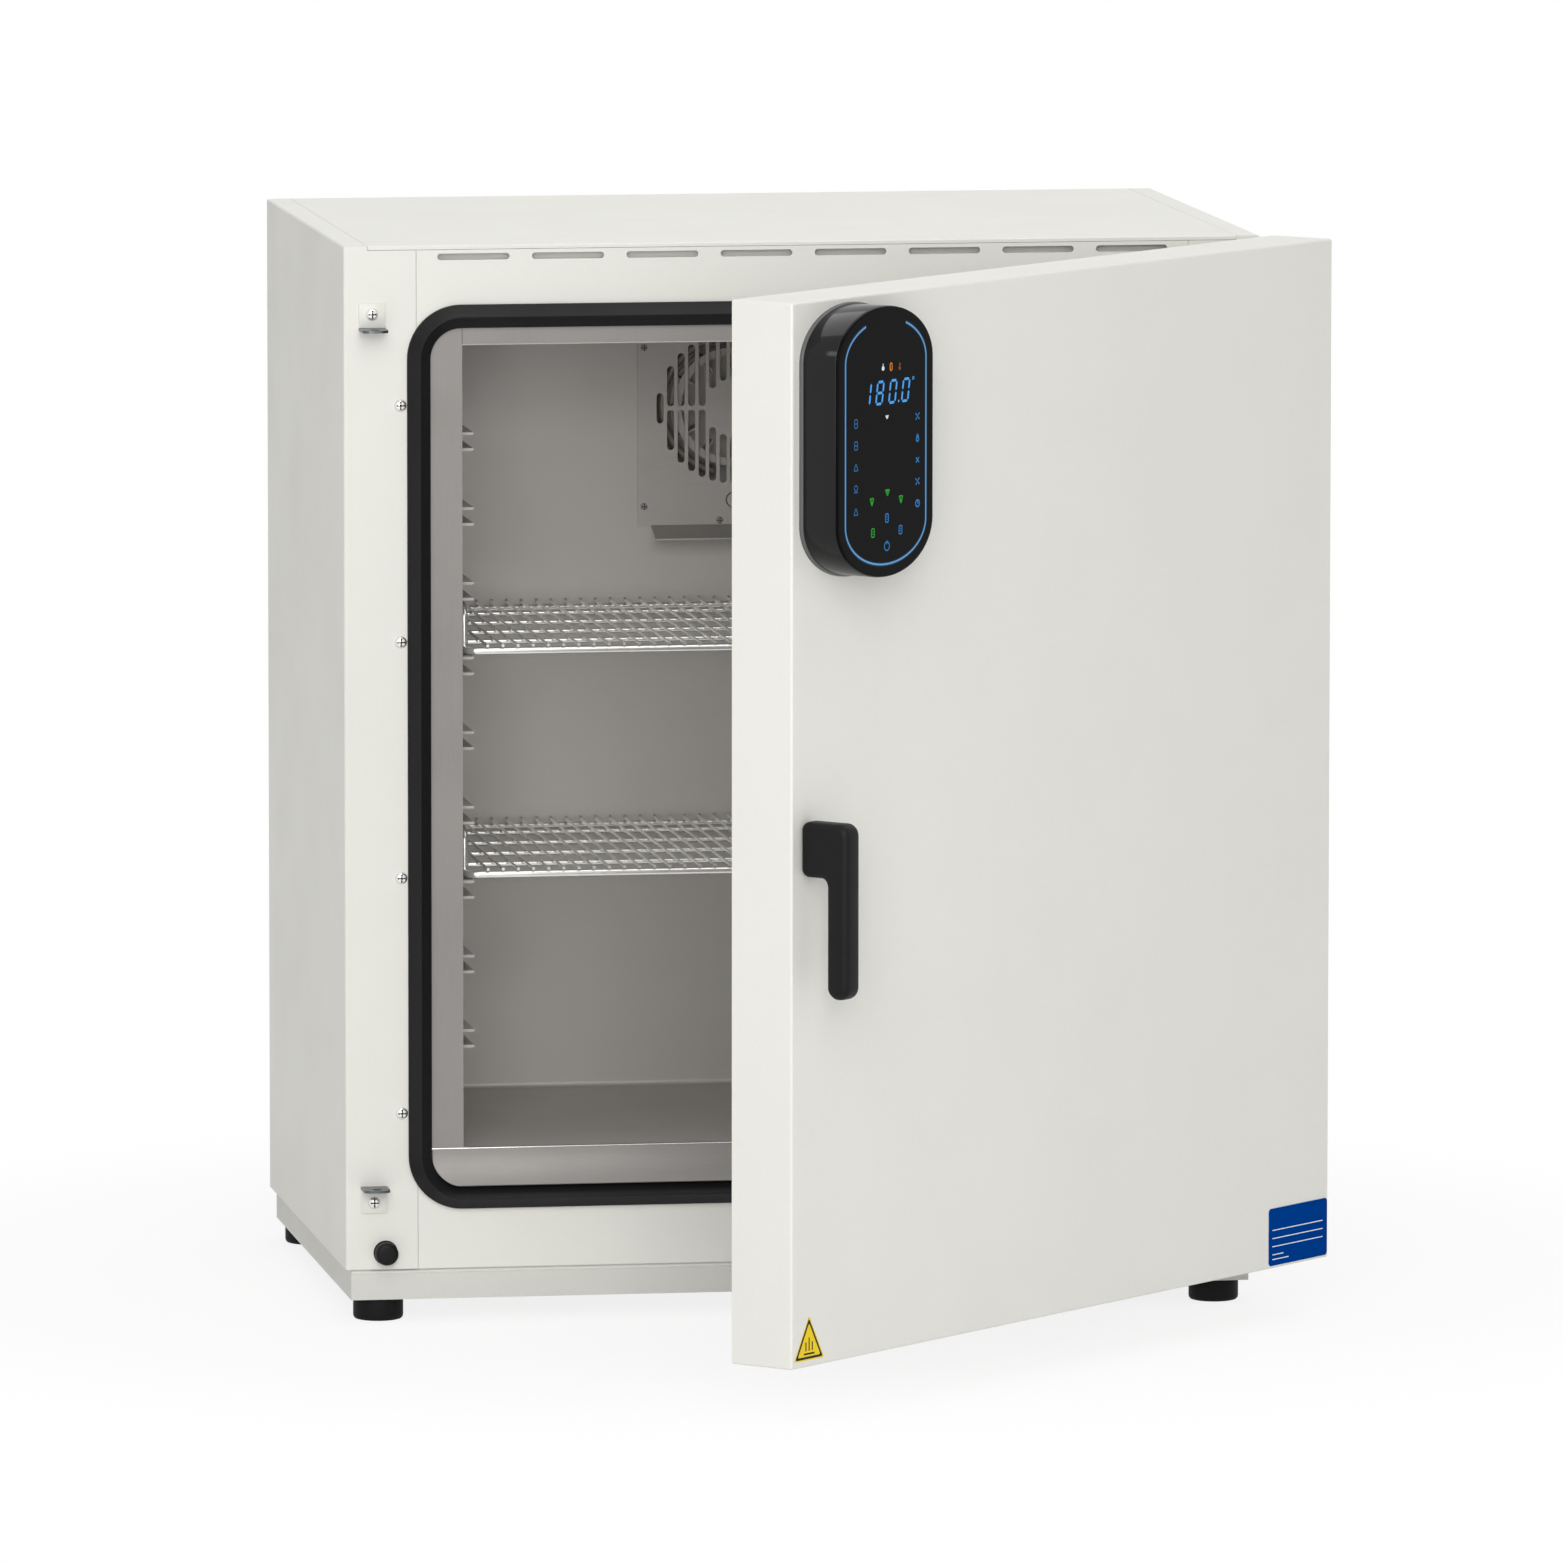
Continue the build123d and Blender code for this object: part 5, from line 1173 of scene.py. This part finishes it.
@dataclass
class Door:
    """Insulated door with its inner pan, hinges, plate, hot-surface sign and lock."""

    hinge_centres: Pair = (735.0, 125.0)
    hinge_screw_step: float = 28.0
    hinge_x: float = 354.0
    bracket_screw_y: float = FRONT + 27.0
    leaf_screw_y: float = FRONT - 39.7
    plate_at: Pair = (308.4, 67.5)
    # Width, height and corner radius
    plate_size: Triple = (78.8, 43.6, 3.0)
    plate_rim: Steps = ((0.0, 0.4), (0.2, 0.15), (0.4, 0.0))
    # Left end, right end and height of each printed rule
    rules: tuple[Triple, ...] = ((-35.0, 33.0, 5.2), (-35.0, 33.0, -1.0), (-35.0, 33.0, -7.2),
                                 (-35.0, -20.0, -13.4), (-35.0, -13.0, -17.0))
    rule_width: float = 0.7
    rule_lift: float = 0.58
    sign_at: Pair = (-328.3, 59.5)
    sign_size: float = 19.8
    sign_corner: float = 0.09
    sign_facets: int = 4
    # Lift, share of the sign's size and finish of each triangle
    sign_layers: tuple[tuple[float, float, int], ...] = ((0.03, 1.1, 1), (0.07, 1.0, 0), (0.11, 0.82, 1))
    # Middle and size of each bar of the picture, as shares of the sign's size
    sign_bars: tuple[tuple[Pair, Pair], ...] = (((-0.2, -0.04), (0.07, 0.33)), ((0.0, 0.04), (0.07, 0.49)),
                                                ((0.2, -0.04), (0.07, 0.33)), ((0.0, -0.31), (0.67, 0.07)))
    sign_bar_lift: float = 0.15

    def build(self) -> None:
        """Dress the door's sheets and make its screws, its plate and its sign."""
        dress(DOOR_PAINT, "door_outer_panel", "door_inner_panel")
        dress(STAINLESS_PRESSED, "door_plug")
        dress(ZINC_PLATE, "upper_hinge_bracket", "lower_hinge_bracket", "upper_hinge_leaf",
              "lower_hinge_leaf", "hinge_pins", "handle_spindle", "upper_lock_rod", "lower_lock_rod")
        dress(GALVANISED, "lock_case", "rod_guides")
        dress(CONTACT, "lock_pinion")
        self.hinge_screws()
        self.blue_plate()
        self.hot_sign()

    def hinge_screws(self) -> None:
        """Screws of the hinge halves, on the casing and on the door."""
        heights = [centre + step for centre in self.hinge_centres
                   for step in (-self.hinge_screw_step, self.hinge_screw_step)]
        for half, y, at, body in (("bracket", self.bracket_screw_y, FIXED, "cabinet"),
                                  ("leaf", self.leaf_screw_y, SWUNG, "door")):
            seats = [at @ seat((self.hinge_x, y, z), (1, 0, 0)) for z in heights]
            add_screws(f"{half}_dome_screws", f"hinge_{half}_screws", seats, body=body)

    def blue_plate(self) -> None:
        """Printed plate with a rounded rim and five plain rules."""
        bm = bmesh.new()
        step_in(bm, plate(bm, *self.plate_size), self.plate_rim)
        close_bottom(bm)
        for left, right, level in self.rules:
            bar(bm, ((left + right) / 2, level, self.rule_lift), (right - left, self.rule_width), 1)
        place_piece("blue_corner_plate", bm, [PLATE_BLUE, PRINT_WHITE], "door",
                    SWUNG @ front_view(DOOR_OUTER, *self.plate_at), "info_plate")

    def hot_sign(self) -> None:
        """Sticker with the usual triangle for a hot surface."""
        size = self.sign_size
        bm = bmesh.new()
        for level, share, number in self.sign_layers:
            verts = bmesh.ops.create_circle(bm, cap_ends=True, radius=size * share, segments=3,
                                            matrix=Matrix.Translation((0, 0, level)))["verts"]
            verts[0].link_faces[0].material_index = number
            bevel(bm, verts, size * self.sign_corner, self.sign_facets)
        for (x, y), (wide, tall) in self.sign_bars:
            bar(bm, (x * size, y * size, self.sign_bar_lift), (wide * size, tall * size))
        place_piece("hot_surface_sign", bm, [SIGN_BLACK, SIGN_YELLOW], "door",
                    SWUNG @ front_view(DOOR_OUTER, *self.sign_at))


class Stroke(Enum):
    """Simple strokes of which the glass's signs are drawn."""

    LINE = "straight lines from point to point"
    RING = "circle line"
    DOT = "filled disc"


Strokes = Sequence[tuple[Stroke, Sequence[float]]]
# Facets of a sign's rings and dots
DOT_SIDES = 20


def dash(bm: BMesh, start: Vector, end: Vector, width: float) -> None:
    """Straight line with pointed ends, flat on the drawing's plane.

    Args:
        bm: mesh that gets the line.
        start: one end.
        end: the other end.
        width: width of the line.
    """
    along, middle = end - start, (start + end) / 2
    # A hexagon whose two points on the axis become the line's ends
    verts = bmesh.ops.create_circle(bm, cap_ends=True, radius=0.5, segments=6,
                                    matrix=Matrix.Rotation(math.pi / 2, 4, "Z"))["verts"]
    for vert in verts:
        side = 0.0 if abs(vert.co.y) < 0.1 else math.copysign(width / 2, vert.co.y)
        vert.co = math.copysign(along.length / 2 - abs(side), vert.co.x), side, 0.0
    bmesh.ops.transform(bm, matrix=Matrix.Translation((*middle, 0))
                        @ Matrix.Rotation(math.atan2(along.y, along.x), 4, "Z"), verts=verts)


def draw_sign(bm: BMesh, strokes: Strokes, width: float) -> None:
    """Add the strokes of one sign.

    Args:
        bm: mesh of the signs.
        strokes: each stroke with the points of a line, or the middle and radius of a ring or dot.
        width: width of the lines.
    """
    for kind, values in strokes:
        if kind is Stroke.LINE:
            points = [Vector(values[n:n + 2]) for n in range(0, len(values), 2)]
            for start, end in zip(points, points[1:]):
                dash(bm, start, end, width)
            continue
        x, y, radius = values
        face = bmesh.ops.create_circle(bm, cap_ends=True, radius=radius, segments=DOT_SIDES,
                                       matrix=Matrix.Translation((x, y, 0)))["verts"][0].link_faces[0]
        if kind is Stroke.RING:
            step_in(bm, face, [(width, 0.0)])
            bmesh.ops.delete(bm, geom=[face], context="FACES")


def box_line(half_x: float, half_y: float) -> tuple[Stroke, tuple[float, ...]]:
    """Rectangle of lines round a sign's middle."""
    return Stroke.LINE, (-half_x, -half_y, -half_x, half_y, half_x, half_y, half_x, -half_y, -half_x, -half_y)


@dataclass
class Pod:
    """Control pod: grey ring, glossy housing and printed glass with lit signs."""

    x: float = -280.4
    z: float = 715.7
    width: float = 119.4
    height: float = 196.6
    end: float = 40.0
    depth: float = 33.4
    base: float = 3.0
    glass: float = 2.0
    sides: int = 96
    trim_margin: float = 1.2
    trim_steps: Steps = ((0.0, 2.2), (0.3, 0.5), (0.5, 0.3), (6.8, 0.0), (0.0, -3.0))
    housing_steps: Steps = ((0.0, 0.6), (0.0, 27.3), (0.15, 0.25), (0.25, 0.1), (2.4, 0.0), (0.0, -25.4))
    glass_margin: float = -0.2
    glass_steps: Steps = ((0.0, 1.1), (0.1, 0.35), (0.25, 0.25), (0.5, 0.13), (0.8, 0.02), (4.0, 0.0))
    # Name, finish, inset, width and lift of each line of the blue ring
    rings: tuple[tuple[str, Lit, float, float, float], ...] = (("pod_ring_halo", RING_HALO, 8.1, 2.6, 0.04),
                                                               ("pod_ring_line", RING_BLUE, 9.0, 1.0, 0.09))
    ring_sides: int = 128
    ring_gap: float = 24.0
    face_sink: float = 0.15
    sign_lift: float = 0.09
    readout_at: Pair = (1.5, 27.9)
    slant: float = 0.16
    figures: str = "1800"
    figure_x: tuple[float, ...] = (-29.7, -14.0, 2.2, 18.2)
    figure_size: Pair = (7.6, 15.8)
    figure_line: float = 1.9
    figure_gap: float = 0.5
    # Place from the last figure and radius of the point and of the degree mark
    point: Triple = (-3.8, 0.4, 0.9)
    degree: Triple = (12.0, 15.8, 1.3)
    degree_line: float = 0.6

    @property
    def face(self) -> float:
        """Depth of the glass's face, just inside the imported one."""
        return DOOR_OUTER - self.depth + self.face_sink

    def at(self, y: float) -> Matrix:
        """Placement of a drawing round the pod's middle at a depth."""
        return SWUNG @ front_view(y, self.x, self.z)

    def build(self) -> None:
        """Make the ring, the housing, the glass and its signs."""
        dress(BOARD, "pod_board")
        self.base_ring()
        self.housing()
        self.front_glass()
        self.outline_ring()
        self.readout()
        self.signs()

    def outline(self, bm: BMesh, margin: float, steps: Iterable[Pair], sides: int) -> BMFace:
        """Draw the pod's outline and shrink and lift it in steps.

        Args:
            bm: mesh that gets the shape.
            margin: how far the outline stands off the housing's.
            steps: how far each step goes in and up.
            sides: facets round the outline.

        Returns:
            The innermost face.
        """
        face = pill(bm, self.width + 2 * margin, self.height + 2 * margin, self.end + margin, sides)
        step_in(bm, face, steps)
        return face

    def base_ring(self) -> None:
        """Grey trim ring on the door's face."""
        bm = bmesh.new()
        face = self.outline(bm, self.trim_margin, self.trim_steps, self.sides)
        bmesh.ops.delete(bm, geom=[face], context="FACES_ONLY")
        close_ring(bm)
        place_piece("pod_trim_ring", bm, GREY_ABS, "door", self.at(DOOR_OUTER), "pod_base")

    def housing(self) -> None:
        """Glossy housing with a rounded shoulder under the glass."""
        bm = bmesh.new()
        self.outline(bm, 0.0, self.housing_steps, self.sides)
        close_bottom(bm)
        place_piece("pod_gloss_housing", bm, GLOSS_ABS, "door",
                    self.at(DOOR_OUTER - self.base), "pod_housing")

    def front_glass(self) -> None:
        """Printed glass with a rounded edge."""
        bm = bmesh.new()
        self.outline(bm, self.glass_margin, self.glass_steps, self.sides)
        close_bottom(bm)
        place_piece("pod_front_glass", bm, PRINTED_GLASS, "door",
                    self.at(DOOR_OUTER - self.depth + self.glass), "pod_glass")

    def outline_ring(self) -> None:
        """Blue line round the glass, open at the top, on a darker halo."""
        for name, coat, inset, line, lift in self.rings:
            bm = bmesh.new()
            inner = self.outline(bm, -inset, [(line, 0.0)], self.ring_sides)
            gap = [inner]
            for face in bm.faces:
                middle = face.calc_center_median()
                if face != inner and middle.y > 0 and abs(middle.x) < self.ring_gap:
                    gap.append(face)
            bmesh.ops.delete(bm, geom=gap, context="FACES")
            place_piece(name, bm, coat, "door", self.at(self.face - lift))

    def readout(self) -> None:
        """Slanted seven-segment figures that read 180.0, with a degree mark."""
        wide, tall = self.figure_size
        mid, gap, line = tall / 2, self.figure_gap, Stroke.LINE
        bars = {"a": (gap, tall, wide - gap, tall), "b": (wide, tall - gap, wide, mid + gap),
                "c": (wide, mid - gap, wide, gap), "d": (gap, 0.0, wide - gap, 0.0),
                "e": (0.0, gap, 0.0, mid - gap), "f": (0.0, mid + gap, 0.0, tall - gap),
                "g": (gap, mid, wide - gap, mid)}
        lit = {"1": "bc", "8": "abcdefg", "0": "abcdef"}
        bm = bmesh.new()
        for figure, x in zip(self.figures, self.figure_x):
            ends = [bars[name] for name in lit[figure]]
            draw_sign(bm, [(line, (x0 + x, y0, x1 + x, y1)) for x0, y0, x1, y1 in ends], self.figure_line)
        for kind, (x, y, radius) in ((Stroke.DOT, self.point), (Stroke.RING, self.degree)):
            draw_sign(bm, [(kind, (x + self.figure_x[-1], y, radius))], self.degree_line)
        shear = Matrix.Identity(4)
        shear[0][1] = self.slant
        bmesh.ops.transform(bm, matrix=Matrix.Translation((*self.readout_at, 0)) @ shear, verts=bm.verts)
        place_piece("pod_readout", bm, DISPLAY_BLUE, "door", self.at(self.face - self.sign_lift))

    def signs(self) -> None:
        """Small signs of the keys and lamps, grouped by colour."""
        line, ring, dot = Stroke.LINE, Stroke.RING, Stroke.DOT
        glass = [box_line(1.8, 3), (line, (-1.8, 0, 1.8, 0))]
        peak = [(line, (-2.6, -2.4, 0, 2.6, 2.6, -2.4, -2.6, -2.4))]
        bell = [(ring, (0, 0.4, 2.4)), (line, (-2.8, -2.6, 2.8, -2.6))]
        blades = [(dot, (0, 0, 0.8)), (line, (0.6, 0.8, 2.4, 2.6)), (line, (-0.6, -0.8, -2.4, -2.6)),
                  (line, (-0.8, 0.6, -2.6, 2.4)), (line, (0.8, -0.6, 2.6, -2.4))]
        cross = [(line, (-2.0, 2.0, 2.0, -2.0)), (line, (-2.0, -2.0, 2.0, 2.0))]
        clock = [(ring, (0, 0, 3.0)), (line, (0, 2.0, 0, 0, 1.5, 0))]
        drop = [(ring, (0, -0.8, 2.0)), (line, (-1.4, 0.6, 0, 3.2, 1.4, 0.6))]
        down = [(line, (-2.6, 2.0, 0, -2.4, 2.6, 2.0, -2.6, 2.0)), (line, (-1.4, 1.0, 1.4, 1.0)),
                (line, (-0.7, -0.2, 0.7, -0.2))]
        power = [(ring, (0, 0, 3.6)), (line, (0, 1.2, 0, 4.4))]
        page = [box_line(1.8, 3), (line, (-0.8, 1.0, 0.8, 1.0)), (line, (-0.8, -0.8, 0.8, -0.8))]
        leaf = [(line, (0, -3, -2.4, 2.4, 2.4, 2.4, 0, -3)), (line, (0, 2.0, 0, -2.4))]
        lamp = [(dot, (0, -0.6, 1.7)), (line, (0, -0.6, 0, 3.0))]
        arrow = [(line, (-1.8, 1.4, 0, -1.4, 1.8, 1.4)), (dot, (0, 0.6, 0.9))]
        note = [(dot, (0, -1.4, 1.5)), (line, (0, -1.0, 0, 3.0)), (line, (0, 0.4, 1.6, 2.0))]
        table = (
            ("left_column", SIGN_DIM_BLUE, 0.9, ((-37.2, 15.6, glass), (-37.2, -0.3, glass),
             (-37.2, -15.9, peak), (-37.2, -31.4, bell), (-37.2, -48.0, peak))),
            ("right_column", SIGN_BLUE, 1.1, ((39.7, 15.5, blades), (39.7, -0.5, drop),
             (39.7, -16.2, cross), (39.8, -31.8, blades), (39.8, -47.8, clock))),
            ("green_keys", SIGN_GREEN, 0.9, ((-17.3, -42.4, leaf), (2.1, -37.1, down), (19.0, -43.2, leaf),
             (-16.0, -65.0, page))),
            ("blue_keys", SIGN_BLUE, 0.9, ((1.5, -55.5, page), (18.5, -65.3, page), (1.5, -75.9, power))),
            ("white_lamp", SIGN_WHITE, 0.9, ((-3.5, 53.9, lamp), (1.5, 17.7, arrow))),
            ("orange_lamp", SIGN_ORANGE, 1.0, ((6.5, 53.8, [box_line(1.2, 2.6)]),)),
            ("dim_orange_lamp", SIGN_DIM_ORANGE, 0.9, ((17.2, 53.5, note),)))
        for name, coat, width, places in table:
            bm = bmesh.new()
            for x, y, strokes in places:
                repeat(bm, partial(draw_sign, strokes=strokes, width=width), [Matrix.Translation((x, y, 0))])
            place_piece(f"pod_sign_{name}", bm, coat, "door",
                        self.at(self.face - self.sign_lift))


@dataclass
class Handle:
    """Moulded lever: a neck on the door and a long grip that hangs from it."""

    x: float = -331.6
    width: float = 19.0
    edge: float = 5.6
    edge_facets: int = 5
    corner_facets: int = 8
    # Depth in front of the door, height and radius of each corner of the side view
    corners: tuple[Triple, ...] = ((0.3, 402.5, 6.0), (23.0, 402.5, 6.0), (23.0, 315.0, 9.0),
                                   (42.0, 315.0, 9.0), (42.0, 443.0, 9.0), (0.3, 443.0, 6.0))

    def build(self) -> None:
        """Make the lever as one smooth moulding."""
        bm = bmesh.new()
        verts = [bm.verts.new((depth, height, 0.0)) for depth, height, _ in self.corners]
        bm.faces.new(verts)
        for vert, (_, _, radius) in zip(verts, self.corners):
            bevel(bm, [vert], radius, self.corner_facets)
        extrude(bm, bm.faces[:], (0, 0, self.width))
        bmesh.ops.recalc_face_normals(bm, faces=bm.faces)
        rims = [edge for edge in bm.edges if edge.verts[0].co.z == edge.verts[1].co.z]
        bevel(bm, rims, self.edge, self.edge_facets, Rounded.EDGES)
        # Depth runs to the front, height stays up, and the drawing's Z runs to the left, so nothing is mirrored
        turned = Matrix(((0, 0, -1, self.x + self.width / 2), (-1, 0, 0, DOOR_OUTER), (0, 1, 0, 0),
                         (0, 0, 0, 1)))
        place_piece("moulded_lever", bm, NYLON, "handle", SWUNG @ turned, "handle_lever", 70)


@dataclass
class Rear:
    """Exhaust with its damper, the mains inlet and the power board."""

    inlet: Pair = (-250.0, 105.0)
    pins: Steps = ((-7.0, -2.0), (7.0, -2.0), (0.0, 2.0))
    pin_half: Pair = (1.12, 2.12)
    pin_y: Pair = (BACK - 13.0, BACK - 0.9)
    pin_edge: float = 0.12

    def build(self) -> None:
        """Dress the pieces at the rear and plate the inlet's pins."""
        dress(STAINLESS_DULL, "exhaust_pipe")
        dress(ALUMINIUM, "exhaust_damper")
        dress(NYLON, "power_inlet")
        dress(BOARD, "power_board")
        wide, tall = self.pin_half
        bm = bmesh.new()
        for x, z in self.pins:
            x, z = self.inlet[0] + x, self.inlet[1] + z
            block(bm, (x - wide, x + wide), self.pin_y, (z - tall, z + tall), self.pin_edge)
        place_piece("inlet_pin_plating", bm, CONTACT, "cabinet")


@dataclass
class Studio:
    """White floor and background, soft lamps and the photograph's camera, in metres."""

    position: Triple = (-1.91393, -12.10744, 1.80971)
    yaw: float = 0.1583729633
    pitch: float = 0.1160781780
    roll: float = -0.000563525
    focal_pixels: float = 16004.988
    image: float = 1563.0
    sensor: float = 36.0
    floor_reach: float = 14.0
    fade: Pair = (0.45, 0.95)
    near_share: float = 0.84
    ambient: float = 0.34
    aim: Triple = (0.0, -0.1, 0.4)
    # Name, place, side of the panel and power of each lamp
    lamps: tuple[tuple[str, Triple, float, float], ...] = (
        ("key_lamp", (-0.6, -4.1, 2.8), 2.6, 58.0), ("front_lamp", (-0.9, -4.8, 1.2), 1.8, 50.0),
        ("fill_lamp", (2.9, -3.0, 1.7), 2.6, 6.0), ("top_lamp", (0.2, 0.2, 3.6), 3.2, 43.0),
        ("corner_lamp", (-2.6, -2.6, 2.6), 0.7, 4.0))

    def build(self) -> None:
        """Make the floor, the world, the lamps and the camera."""
        self.floor()
        self.world()
        for lamp in self.lamps:
            self.lamp(*lamp)
        self.camera()

    def floor(self) -> None:
        """Pale floor that keeps the oven's shadow and fades into the white background."""
        bm = bmesh.new()
        bmesh.ops.create_grid(bm, x_segments=1, y_segments=1, size=self.floor_reach)
        mesh = bpy.data.meshes.new("studio_floor")
        bm.to_mesh(mesh)
        bm.free()
        made, surface, place = start_material("studio_white")
        tree = made.node_tree
        wire(tree, surface, {"Base Color": linear("#fcfcfc"), "Roughness": 0.9})
        away = add_node(tree, "ShaderNodeVectorMath", {0: place}, "Value", operation="LENGTH")
        near, far = self.fade
        fading = add_node(tree, "ShaderNodeMapRange", {"Value": away, "From Min": near, "From Max": far,
                                                      "To Min": self.near_share},
                          interpolation_type="SMOOTHSTEP")
        share = add_node(tree, "ShaderNodeMath", {0: fading, 1: seen_rays(tree)}, operation="MULTIPLY")
        white = add_node(tree, "ShaderNodeEmission", {"Color": (1, 1, 1, 1), "Strength": 1.0})
        mixed = add_node(tree, "ShaderNodeMixShader", {0: share, 1: surface.outputs[0], 2: white})
        wire(tree, tree.nodes["Material Output"], {"Surface": mixed})
        mesh.materials.append(made)
        floor = bpy.data.objects.new("studio_floor", mesh)
        bpy.context.scene.collection.objects.link(floor)

    def world(self) -> None:
        """World that is white where it is seen and dimmer as a light."""
        world = bpy.data.worlds.new("studio_world")
        bpy.context.scene.world = world
        world.use_nodes = True
        tree = world.node_tree
        level = add_node(tree, "ShaderNodeMapRange", {"Value": seen_rays(tree), "To Min": self.ambient})
        wire(tree, tree.nodes["Background"], {"Color": (1, 1, 1, 1), "Strength": level})

    def lamp(self, name: str, place: Triple, size: float, power: float) -> None:
        """Add a soft square lamp that looks at the oven.

        Args:
            name: the lamp's name.
            place: where it stands.
            size: side of its panel.
            power: its power in watts.
        """
        data = bpy.data.lights.new(name, "AREA")
        data.shape, data.size, data.energy = "SQUARE", size, power
        lamp = bpy.data.objects.new(name, data)
        towards = Vector(self.aim) - Vector(place)
        lamp.matrix_world = Matrix.Translation(place) @ towards.to_track_quat("-Z", "Y").to_matrix().to_4x4()
        bpy.context.scene.collection.objects.link(lamp)

    def camera(self) -> None:
        """Camera at the photograph's place, direction and field of view."""
        flat = math.cos(self.pitch)
        forward = Vector((math.sin(self.yaw) * flat, math.cos(self.yaw) * flat, -math.sin(self.pitch)))
        level = Vector((math.cos(self.yaw), -math.sin(self.yaw), 0.0))
        right = Matrix.Rotation(self.roll, 3, forward) @ level
        axes = Matrix((right, right.cross(forward), -forward)).transposed().to_4x4()
        data = bpy.data.cameras.new("photo_camera")
        data.sensor_width = self.sensor
        data.lens = self.sensor * self.focal_pixels / self.image
        camera = bpy.data.objects.new("photo_camera", data)
        camera.matrix_world = Matrix.Translation(self.position) @ axes
        bpy.context.scene.collection.objects.link(camera)
        bpy.context.scene.camera = camera


def main() -> None:
    """Build the studio and every sub-assembly."""
    bpy.context.scene.view_settings.view_transform = "Standard"
    Studio().build()
    shelves = WireShelf("upper_shelf", 507.2), WireShelf("lower_shelf", 337.1)
    for assembly in (Casing(), Chamber(), Wool(), *shelves, Fan(), FrontFittings(), Door(), Pod(), Handle(),
                     Rear()):
        assembly.build()
        log.info("built %s", type(assembly).__name__)


if __name__ == "__main__":
    main()
